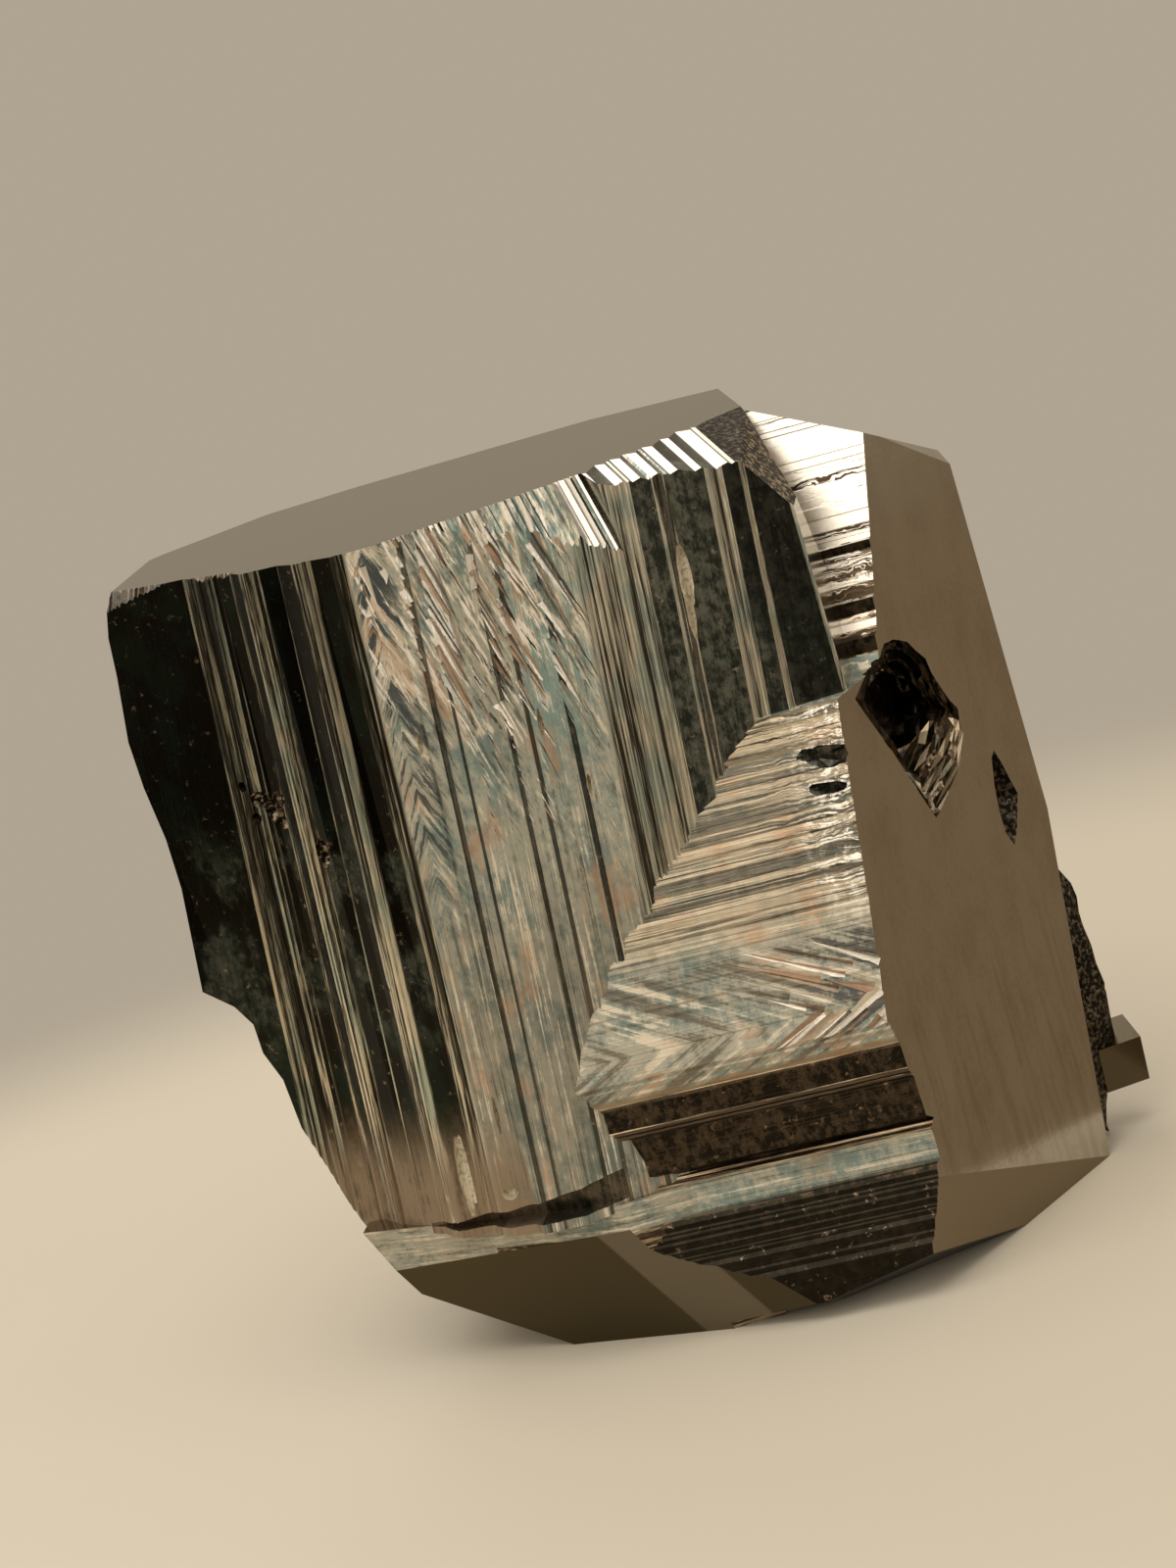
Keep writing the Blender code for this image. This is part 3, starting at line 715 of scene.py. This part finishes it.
# Chips on the level steps, all painted dark inside as shade
LEVEL_CHIPS = (
    (10.9, 21.1, 0.90, 0.50, PAINTED_SHADE_MARK), (10.2, 21.3, 0.50, 0.25, PAINTED_SHADE_MARK), (10.6, 19.9, 0.85, 0.25, PAINTED_SHADE_MARK),
)
places = [(*leaned(x, front_at(x), z), z, *rest) for x, z, *rest in CHIPS]
places += [(x, level_front(z), z, *rest) for x, z, *rest in LEVEL_CHIPS]
chips = []
for x, y, z, width, height, value in places:
    bpy.ops.mesh.primitive_ico_sphere_add(
        subdivisions=2, radius=1.0, location=(x, y, z), rotation=(0.0, STEP_LEAN, 0.0)
    )
    bpy.ops.object.mode_set(mode="EDIT")
    bpy.ops.transform.vertex_random(offset=CHIP_UNEVEN, seed=len(chips))
    bpy.ops.object.mode_set(mode="OBJECT")
    chip = bpy.context.object
    chip.scale = (width, CHIP_DEPTH, height)
    bpy.ops.object.transform_apply(location=True, rotation=True, scale=True)
    chip.data.attributes.new("growth", "FLOAT_VECTOR", "FACE")
    chips.append(mark_all(chip, value))

# ---------------------------------------------------------------------------------------
# The whole specimen: crystals grown together are one solid, so they are fused, and the
# hollows and chips are taken out. It stands on one small flat, in the imported solid's place,
# and its finish follows how each face grew and where on the crystals it lies, with light and shade painted
# into some faces.

MM = 0.001
SOLID_LOW_CORNER = Vector((-17.75, -8.3, BASE))
REACH = 25.0
low_corner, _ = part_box("pyrite_crystal")
moved = low_corner / MM - SOLID_LOW_CORNER

combine(crystal, [slab, cross, *plates, strip, small], "UNION")
square = ((-REACH, -REACH), (REACH, -REACH), (REACH, REACH), (-REACH, REACH))
below = push_through("below", square, BASE - CLEAR, BASE, upright)
combine(crystal, [groove, pit, slit, *chips, below], "DIFFERENCE")
crystal.data.transform(Matrix.Scale(MM, 4) @ Matrix.Translation(moved))


class Value:
    """An output of a node. Arithmetic on it adds the Math node that works it out."""

    def __init__(self, nodes, output):
        self.nodes = nodes
        self.output = output

    def maths(self, operation, *values):
        return self.nodes.add("ShaderNodeMath", {"operation": operation}, dict(enumerate(values)))

    def __add__(self, other):
        return self.maths("ADD", self, other)

    def __sub__(self, other):
        return self.maths("SUBTRACT", self, other)

    def __rsub__(self, other):
        return self.maths("SUBTRACT", other, self)

    def __mul__(self, other):
        return self.maths("MULTIPLY", self, other)

    def __gt__(self, other):
        return self.maths("GREATER_THAN", self, other)

    def __lt__(self, other):
        return self.maths("LESS_THAN", self, other)

    def __abs__(self):
        return self.maths("ABSOLUTE", self)

    __radd__ = __add__
    __rmul__ = __mul__


class Nodes:
    """A material. add() makes any node: its type, settings, inputs and which output to give."""

    def __init__(self, name):
        self.material = bpy.data.materials.new(name)
        self.material.use_nodes = True
        self.tree = self.material.node_tree
        self.shader = self.tree.nodes["Principled BSDF"]
        self.surface = self.tree.nodes["Material Output"].inputs["Surface"]

    def put(self, socket, value):
        if isinstance(value, Value):
            self.tree.links.new(value.output, socket)
        else:
            socket.default_value = value

    def feed(self, name, value):
        self.put(self.shader.inputs[name], value)

    def add(self, kind, settings=None, inputs=None, output=0):
        node = self.tree.nodes.new(kind)
        for setting, value in (settings or {}).items():
            setattr(node, setting, value)
        for socket, value in (inputs or {}).items():
            self.put(node.inputs[socket], value)
        return Value(self, node.outputs[output])

    def smooth(self, value, off, on):
        """0 as far as off and 1 from on onwards, with a soft change between. Either may be larger."""
        settings = {"interpolation_type": "SMOOTHSTEP"}
        return self.add("ShaderNodeMapRange", settings, {0: value, 1: off, 2: on})

    def between(self, value, rise, fall):
        """1 from the end of the rise to the start of the fall, and 0 outside them."""
        return self.smooth(value, *rise) * (1.0 - self.smooth(value, *fall))

    def blend(self, amount, first, second):
        return self.add("ShaderNodeMix", {"data_type": "RGBA"}, {0: amount, 6: first, 7: second}, 2)

    def layers(self, colour, *over):
        """Lays more colours over the first, in turn, each by its amount."""
        for amount, coat in over:
            colour = self.blend(amount, colour, coat)
        return colour

    def part(self, vector, axis):
        return self.add("ShaderNodeSeparateXYZ", None, {0: vector}, axis)

    def noise(self, place, scale, detail, roughness):
        x, y, z = place
        place = self.add("ShaderNodeCombineXYZ", None, {0: x, 1: y, 2: z})
        inputs = {"Vector": place, "Scale": scale, "Detail": detail, "Roughness": roughness}
        return self.add("ShaderNodeTexNoise", None, inputs)


pyrite = Nodes("pyrite")
smooth, between, noise = pyrite.smooth, pyrite.between, pyrite.noise
blend, layers = pyrite.blend, pyrite.layers
object_place = pyrite.add("ShaderNodeTexCoord", output="Object")
x, y, z = (pyrite.part(object_place, axis) * (1.0 / MM) - moved[axis] for axis in range(3))
growth_mark = pyrite.add("ShaderNodeAttribute", {"attribute_name": "growth"}, output="Vector")
tone, dark, kind = (pyrite.part(growth_mark, axis) for axis in range(3))


def grew_as(sort):
    """1 on the faces of that kind of growth, and 0 on all others."""
    return (kind > sort - 0.1) * (kind < sort + 0.1)


stepped = tone > LEAST_TONE / 2.0
fresh, rough = grew_as(FRESH_BREAK), grew_as(ROUGH_BREAK)
flute, clean = grew_as(FLUTED), grew_as(CLEAN_STEPS)
plume = grew_as(FEATHERED) + grew_as(LEVEL_FEATHERED)
level_run = kind > LEVEL_STEPS - 0.1
upright_run = stepped * (1.0 - level_run)
centre_x = x - (z - LEAN_FROM) * STEP_LEAN
beside_right = (x - RIGHT_FACE[0][0]) * right_out.x + (y - RIGHT_FACE[0][1]) * right_out.y

# Mottling, blotches, patches, grain and flecks, which take no notice of the steps
mottled = noise((x * 1.3, y, z * 0.9), 1.7, 6.0, 0.75)
blotches = noise((x, y, z * 0.6), 0.5, 4.0, 0.6)
patches = noise((x + 31.0, y, z * 0.7), 0.55, 3.0, 0.55)
grain = noise((x, y, z), 5.0, 3.0, 0.6)
flecks = smooth(noise((x, y, z + 9.0), 2.6, 3.0, 0.7), 0.62, 0.74)
streaked = noise((x * 2.0, y * 2.0, z * 0.15), 1.0, 4.0, 0.6)

# Growth lines along the steps. Level ones grow wavy near the right face
WAVY_EDGE, WAVY_LOW = (-4.5, 0.0), (14.5, 19.0)
leaning = STEP_LEAN + LEFT_LEAN * smooth(x, *LEAN_LEFT)
waves = noise((x * 0.9, y, z * 1.6), 1.0, 3.0, 0.5)
wavy = level_run * smooth(beside_right, *WAVY_EDGE) * smooth(z, *WAVY_LOW) * (waves - 0.5) * 1.1
across_steps = (x - leaning * (z - LEAN_FROM)) * (1.0 - level_run) + (z + wavy) * level_run
along_steps = z * (1.0 - level_run) + x * level_run
lines = noise((across_steps * 6.0, along_steps * 0.08, y * 1.5), 1.0, 4.0, 0.8)
fine_lines = noise((across_steps * 24.0, along_steps * 0.3, y * 4.0), 1.0, 2.0, 0.6)
bands = noise((across_steps * 1.3, along_steps * 0.12, y * 0.5), 1.0, 4.0, 0.55)

# Feathered growth: fans in the middle of the front, arches at its left, level arrowheads
CALM_LEFT, FANS_LOW, ARCHES_LOW = (-0.2, 0.6), (19.0, 25.0), (17.0, 23.0)
ARCH_MIDDLE, ARCH_EDGE = -4.55, (1.0, 1.7)
ARROWS_LOW, ARROWS_HIGH = (9.5, 9.8), (14.0, 15.2)
calm = smooth(centre_x, *CALM_LEFT) * smooth(blotches, 0.40, 0.52)
in_fans = smooth(z, *FANS_LOW) * (1.0 - level_run) * (1.0 - calm * 0.75)
fanned = noise(((x + z * 0.235) * 4.0, z * 0.4, y), 1.0, 4.0, 0.65)
arch = abs(centre_x - ARCH_MIDDLE)
in_arches = (1.0 - smooth(arch + mottled * 0.8, *ARCH_EDGE)) * smooth(z, *ARCHES_LOW)
arched = noise(((z + arch * 2.0 + mottled * 0.7) * 1.5, x * 0.4, y * 0.5), 1.0, 4.0, 0.66)
arrow = abs(z - ARROW_TIP[1])
in_arrows = level_run * between(z, ARROWS_LOW, ARROWS_HIGH)
arrowed = noise(((x * 0.45 + arrow * 0.9) * 1.9, x * 0.12, y * 0.5), 1.0, 4.0, 0.65)
streaks = fanned * in_fans + arrowed * in_arrows + lines * (1.0 - in_fans - in_arrows)
streaks = arched * in_arches + streaks * (1.0 - in_arches)

# Smooth faces: satin, duller, or dark olive lower down, which on the faces that look down is painted shade,
# and stained towards the foot
SATIN, SATIN_DARK, SATIN_TOP = (0.53, 0.49, 0.42, 1.0), (0.44, 0.39, 0.32, 1.0), (0.235, 0.197, 0.125, 1.0)
DULL, OLIVE, OLIVE_PALE = (0.23, 0.18, 0.12, 1.0), (0.085, 0.068, 0.038, 1.0), (0.18, 0.152, 0.108, 1.0)
STAIN_TOP, STRIP_LEFT, STRIP_RIGHT = (15.0, 7.0), (-3.5, -3.3), (-0.1, 0.1)
stained = smooth(z, *STAIN_TOP) * smooth(streaked, 0.48, 0.62)
in_strip = between(x + (z - 4.5) * 0.587, STRIP_LEFT, STRIP_RIGHT)
satin = layers(
    SATIN,
    (smooth(grain * 0.4 + blotches * 0.6, 0.38, 0.72), SATIN_DARK),
    (stained * 0.22, DULL),
    (z > TOP - 0.05, blend(flecks * 0.3, SATIN_TOP, SATIN_DARK)),
    (smooth(dark, 0.0, 0.5), DULL),
    (smooth(dark, 0.5, 1.0), blend(in_strip, OLIVE, OLIVE_PALE)),
)

# Bright steps: pale brass in the upright bundles, gold in the level ones, their dark lines partly growth
# lines and partly painted shade; white on flutes and on the clean steps, whiter higher up, as painted
# highlight
BUNDLE, BUNDLE_GREEN, BUNDLE_DARK = (0.80, 0.73, 0.57, 1.0), (0.55, 0.60, 0.50, 1.0), (0.07, 0.06, 0.042, 1.0)
GOLD, COPPER_GOLD, GOLD_DARK = (0.50, 0.39, 0.26, 1.0), (0.50, 0.31, 0.18, 1.0), (0.06, 0.042, 0.026, 1.0)
WHITE = (0.88, 0.82, 0.72, 1.0)
# The dark lines of the bundles and of the gold are partly growth lines and partly painted shade
lit = lines * 0.85 + tone * 0.15 + smooth(x, 2.5, 3.5) * 0.05
bundle = blend(smooth(blotches, 0.45, 0.60), BUNDLE, BUNDLE_GREEN)
bundle = blend(smooth(lit, 0.475, 0.555), BUNDLE_DARK, bundle)
gold = blend(smooth(patches * 0.6 + lines * 0.4, 0.52, 0.60) * 0.7, GOLD, COPPER_GOLD)
gold = blend(smooth(lines * 0.8 + tone * 0.2, 0.46, 0.54), GOLD_DARK, gold)
# Clean steps painted white, more of them higher up: painted highlight
painted_highlight = clean * smooth(tone * 0.2 + lines * 0.8 + (z - 28.2) * 0.025, 0.44, 0.50)
bright = layers(bundle, (level_run, gold), (smooth(flute + painted_highlight, 0.4, 0.6), WHITE))

# Dark treads: black or green-black, partly dark tarnish and partly painted dark reflection, brown where they
# run level, with a grey-green film and flecks of painted glint
TREAD, TREAD_GREEN, BROWN = (0.016, 0.014, 0.010, 1.0), (0.018, 0.024, 0.016, 1.0), (0.075, 0.053, 0.034, 1.0)
FILM, FILM_DARK, GLINT = (0.115, 0.115, 0.085, 1.0), (0.018, 0.020, 0.014, 1.0), (0.30, 0.22, 0.15, 1.0)
FILM_FRONT, FILM_LEFT, FILM_RIGHT = (-4.0, -4.3), (4.0, 5.5), (9.0, 10.5)
OLIVE_LOW, OLIVE_HIGH, BROWN_LOW = (12.0, 16.0), (21.0, 25.0), (4.4, 4.2)
wide_tread = upright_run * smooth(dark, 0.6, 0.9)
olive_patch = smooth(patches * 0.7 + mottled * 0.3, 0.48, 0.60) * between(z, OLIVE_LOW, OLIVE_HIGH) * 0.45
thinned = smooth(x + (z - 26.0) * 0.1, *FILM_RIGHT) * 0.6
filmed = smooth(y, *FILM_FRONT) * smooth(x, *FILM_LEFT) * (1.0 - thinned) + olive_patch * (x < 0.0)
filmed = wide_tread * filmed
brown = layers(
    TREAD,
    (smooth(mottled, 0.44, 0.60), BROWN),
    (smooth(lines, 0.55, 0.60) * 0.7, GOLD_DARK),
    (smooth(z, *BROWN_LOW) * 0.8, TREAD),
)
tread = layers(
    TREAD,
    (smooth(patches, 0.45, 0.6), TREAD_GREEN),
    (smooth(level_run + flute, 0.4, 0.6), brown),
    (filmed, blend(smooth(mottled * 0.7 + lines * 0.3, 0.42, 0.60), FILM_DARK, FILM)),
    (flecks * 0.8, GLINT),
)

# Tarnish: teal and grey-green, with cream, umber, slate and copper along the growth lines; white near the top
# and on plume facets of high tone is painted highlight
TEAL, TEAL_PALE, GREY_GREEN = (0.18, 0.24, 0.215, 1.0), (0.24, 0.32, 0.28, 1.0), (0.42, 0.40, 0.315, 1.0)
CREAM, COPPER = (0.70, 0.62, 0.48, 1.0), (0.42, 0.24, 0.13, 1.0)
SLATE, UMBER = (0.045, 0.055, 0.058, 1.0), (0.10, 0.075, 0.045, 1.0)
FRONT_EDGE, CENTRE_LEFT, CENTRE_RIGHT = (-5.6, -4.6), (-5.4, -5.0), (2.6, 3.6)
BAND_LOW, BAND_HIGH, LEDGE_LOW, LEDGE_HIGH = (9.6, 10.2), (13.6, 16.0), (4.4, 4.5), (5.7, 5.8)
LEDGE_LEFT, LEDGE_DROP, SLATE_LEFT = -8.0, 3.0, (6.5, 9.5)
in_front = 1.0 - smooth(y, *FRONT_EDGE)
in_centre = between(centre_x, CENTRE_LEFT, CENTRE_RIGHT) * (1.0 - level_run)
in_band = smooth(z, *BAND_LOW) * (1.0 - smooth(z, *BAND_HIGH) * 0.6) * (1.0 - clean)
in_ledge = smooth(z + (x < LEDGE_LEFT) * LEDGE_DROP, *LEDGE_LOW) * (1.0 - smooth(z, *LEDGE_HIGH))
tarnished = (in_centre + plume + level_run * in_band) * in_front + level_run * in_ledge
tarnished = stepped * (1.0 - dark) * smooth(tarnished, 0.0, 1.0)
fresh_top = smooth(z, 22.0, 27.0) * (1.0 - level_run) * calm
# Whiter towards the top edge: painted highlight
top_highlight = smooth(z, 24.0, 31.0) * (1.0 - level_run)
veins = streaks * 0.8 + mottled * 0.2
slaty = in_arrows * smooth(x, *SLATE_LEFT) * smooth(mottled * 0.3 + arrowed * 0.7, 0.50, 0.45)
# Plume facets of high tone, the needles among them, are painted white as highlight
needle = plume * smooth(tone, 0.50, 0.60)
greyed = smooth(mottled * 0.35 + bands * 0.25 + blotches * 0.4 - fresh_top * 0.07, 0.42, 0.55)
tarnish = layers(
    TEAL,
    (fresh_top, TEAL_PALE),
    (greyed, GREY_GREEN),
    (smooth(z, 23.0, 14.0) * (1.0 - level_run) * 0.38, UMBER),
    (smooth(veins + top_highlight * 0.05 + in_arrows * 0.01, 0.54, 0.60), CREAM),
    (smooth(veins - in_arrows * 0.05, 0.46, 0.38) * 0.8, UMBER),
    (slaty * 0.8, SLATE),
    (smooth(blotches * 0.3 + mottled * 0.3 + arched * 0.4, 0.56, 0.60) * in_fans, SLATE),
    (smooth(patches * 0.5 + tone * 0.15 + streaks * 0.35, 0.56, 0.64) * 0.6, COPPER),
    (in_arches * smooth(arched, 0.50, 0.44) * 0.9, SLATE),
    (in_arches * smooth(arched, 0.54, 0.60) * 0.55, CREAM),
    (top_highlight * smooth(fanned * 0.8 + mottled * 0.2, 0.54, 0.59), WHITE),
    (needle, WHITE),
    (plume * smooth(tone, 0.40, 0.30) * 0.7, COPPER),
)

# Breaks: grainy and dark, or golden, where the pyrite tore, their bright grains and cream flecks partly
# painted glints, and pale where it split clean
BROKEN, FOOT_BROWN = (0.17, 0.135, 0.09, 1.0), (0.25, 0.175, 0.105, 1.0)
broken = blend(smooth(grain, 0.46, 0.64), TREAD, blend(tone > 0.8, BROKEN, GOLD))
# Cream flecks on the breaks: painted glints
broken = blend(flecks * 0.6, broken, CREAM)
split = blend(smooth(grain, 0.40, 0.50), GREY_GREEN, CREAM)

# All of it together, with white painted along the steps beside the right face, partly wear and partly painted
# highlight, and browned at the foot
WEAR_AND_HIGHLIGHT_EDGE, WEAR_AND_HIGHLIGHT_LOW, DULL_STEPS_HIGH = (-1.6, 0.3), (14.0, 17.0), 23.85
FOOT_HIGH, FOOT_RIGHT, FOOT_FRONT = (9.0, 13.0), -5.2, -2.7
streaky = lines * 0.6 + mottled * 0.4
# White beside the right face: partly wear, partly painted highlight
worn_and_highlit = level_run * smooth(beside_right + mottled * 1.5, *WEAR_AND_HIGHLIGHT_EDGE) * smooth(z, *WEAR_AND_HIGHLIGHT_LOW)
worn_and_highlit = worn_and_highlit * (1.0 - clean) * (1.0 - flute) * smooth(streaky, 0.50, 0.54)
in_foot = upright_run * (1.0 - flute * 0.5) * (y < FOOT_FRONT) * (x < FOOT_RIGHT)
in_foot = in_foot * (1.0 - smooth(z + mottled * 3.0, *FOOT_HIGH))
dulled = flute * between(dark, (0.15, 0.3), (0.5, 0.7)) + clean * (z < DULL_STEPS_HIGH)
steps_colour = layers(
    bright,
    # Darkness lays the tread colour over the steps: partly dark tarnish, partly painted shade and painted
    # dark reflection
    (smooth(dark, 0.0, 0.8), tread),
    (dulled, tarnish),
    (tarnished, tarnish),
    (in_foot * (0.35 + smooth(streaky, 0.40, 0.50) * 0.55), FOOT_BROWN),
    (worn_and_highlit, WHITE),
)
pyrite.feed("Base Color", layers(satin, (stepped, steps_colour), (rough, broken), (fresh, split)))

# Tarnish, film and breaks hide the metal's shine; the growth lines stand out in relief
RELIEF_HEIGHT, RELIEF_STRENGTH = 0.1 * MM, 0.5
hidden = tarnished + dulled + fresh + in_foot * 0.9 + filmed * 1.1 - needle
pyrite.feed("Metallic", 1.0 - smooth(hidden, 0.0, 1.0) * 0.75)
gloss = 0.18 + stepped * (0.14 - dark * 0.14) + tarnished * 0.12 + (grain - 0.5) * 0.12
pyrite.feed("Roughness", gloss + dark * 0.06 + rough * 0.3)
lined = stepped * (1.0 - dark * 0.7) * (1.0 - clean * 0.8) * (1.0 - flute)
relief = ((lines - 0.5) + (fine_lines - 0.5) * 0.35) * lined + (grain - 0.5) * (0.05 + rough)
heights = {"Height": relief, "Distance": RELIEF_HEIGHT, "Strength": RELIEF_STRENGTH}
pyrite.feed("Normal", pyrite.add("ShaderNodeBump", None, heights))
crystal.data.materials.clear()
crystal.data.materials.append(pyrite.material)
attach(crystal, "root")
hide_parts("pyrite_crystal")

# ---------------------------------------------------------------------------------------
# The setting: a plain pale floor that fades into the backdrop, soft studio lights, a dark
# card in front of the specimen for its flat treads to face, and the camera.

FLOOR_COLOUR = (0.65, 0.59, 0.485, 1.0)
FLOOR_CENTRE, FLOOR_RADIUS = (0.0, -0.060, 0.0), 0.140
FLOOR_FADE = (0.105, 0.138)
BACKDROP = (0.43, 0.37, 0.285, 1.0)
bpy.ops.mesh.primitive_circle_add(vertices=96, radius=FLOOR_RADIUS, fill_type="NGON")
floor = bpy.context.object
floor.name = "floor"
floor.data.transform(Matrix.Translation(FLOOR_CENTRE))
sheet = Nodes("floor")
here = sheet.add("ShaderNodeTexCoord", output="Object")
offset = sheet.add("ShaderNodeVectorMath", {"operation": "DISTANCE"}, {0: here, 1: FLOOR_CENTRE}, "Value")
sheet.feed("Base Color", FLOOR_COLOUR)
sheet.feed("Roughness", 0.6)
sheet.feed("Specular IOR Level", 0.2)
matt = Value(sheet, sheet.shader.outputs["BSDF"])
clear = sheet.add("ShaderNodeBsdfTransparent", output="BSDF")
faded = sheet.add("ShaderNodeMixShader", None, {0: sheet.smooth(offset, *FLOOR_FADE), 1: matt, 2: clear})
sheet.put(sheet.surface, faded)
floor.data.materials.append(sheet.material)

# Cards on the floor that only reflections see: place, size and the light they give back
CARDS = {
    "dark_card": ((-0.005, -0.240, 0.004), (0.23, 0.39, 1.0), (0.004, 0.0035, 0.003, 1.0)),
    "brown_card": ((0.109, 0.070, 0.0006), (0.18, 0.20, 1.0), (0.258, 0.186, 0.112, 1.0)),
}
for name, (place, size, light) in CARDS.items():
    bpy.ops.mesh.primitive_plane_add(size=1.0)
    card = bpy.context.object
    card.name = name
    card.data.transform(Matrix.Translation(place) @ Matrix.Diagonal((*size, 1.0)))
    card.visible_camera = False
    card.visible_shadow = False
    card.visible_diffuse = False
    board = Nodes(name)
    board.feed("Base Color", (0.0, 0.0, 0.0, 1.0))
    board.feed("Specular IOR Level", 0.0)
    board.feed("Emission Color", light)
    board.feed("Emission Strength", 1.0)
    card.data.materials.append(board.material)

world = bpy.data.worlds.new("backdrop")
world.use_nodes = True
world.node_tree.nodes["Background"].inputs["Color"].default_value = BACKDROP
bpy.context.scene.world = world

# Each soft box: direction from the specimen, distance, width and height in m, radiance, colour
SPECIMEN_MIDDLE = Vector((0.0, 0.0, 0.018))
SOFT_BOXES = {
    "overhead": ((-0.10, -0.25, 0.96), 0.42, (0.50, 0.42), 1.9, (1.0, 0.97, 0.92)),
    "front_high": ((-0.23, -0.86, 0.46), 0.40, (0.26, 0.16), 2.6, (1.0, 0.95, 0.86)),
    "front_low": ((-0.23, -0.96, 0.16), 0.40, (0.26, 0.07), 0.65, (1.0, 0.88, 0.70)),
    "right_strip": ((0.93, -0.30, 0.16), 0.40, (0.10, 0.24), 3.0, (1.0, 0.96, 0.90)),
    "back_high": ((-0.35, 0.70, 0.62), 0.42, (0.30, 0.16), 1.8, (1.0, 0.96, 0.90)),
}
for name, (direction, distance, size, radiance, colour) in SOFT_BOXES.items():
    facing = Vector(direction).normalized()
    bpy.ops.object.light_add(type="AREA", location=SPECIMEN_MIDDLE + facing * distance)
    box = bpy.context.object
    box.name = name
    box.rotation_euler = facing.to_track_quat("Z", "Y").to_euler()
    box.data.shape = "RECTANGLE"
    box.data.size, box.data.size_y = size
    box.data.energy = radiance * math.pi * size[0] * size[1]
    box.data.color = colour

AZIMUTH, ELEVATION, ROLL = math.radians(14.0), math.radians(13.0), math.radians(17.3)
DISTANCE, LENS, SENSOR = 0.160, 90.0, 36.0
LOOK_AT = Vector((0.0, 0.0, 21.0))

target = (LOOK_AT + moved) * MM
away = Vector((
    math.sin(AZIMUTH) * math.cos(ELEVATION), -math.cos(AZIMUTH) * math.cos(ELEVATION), math.sin(ELEVATION)
))
level_right = Vector((math.cos(AZIMUTH), math.sin(AZIMUTH), 0.0))
level_up = away.cross(level_right)
right = level_right * math.cos(ROLL) - level_up * math.sin(ROLL)
up = level_right * math.sin(ROLL) + level_up * math.cos(ROLL)
bpy.ops.object.camera_add()
camera = bpy.context.object
camera.matrix_world = Matrix.Translation(target + away * DISTANCE) @ Matrix(
    (right, up, away)
).transposed().to_4x4()
camera.data.lens = LENS
camera.data.sensor_fit = "VERTICAL"
camera.data.sensor_height = SENSOR
camera.data.clip_start = 0.01
bpy.context.scene.camera = camera
bpy.context.scene.view_settings.view_transform = "Standard"
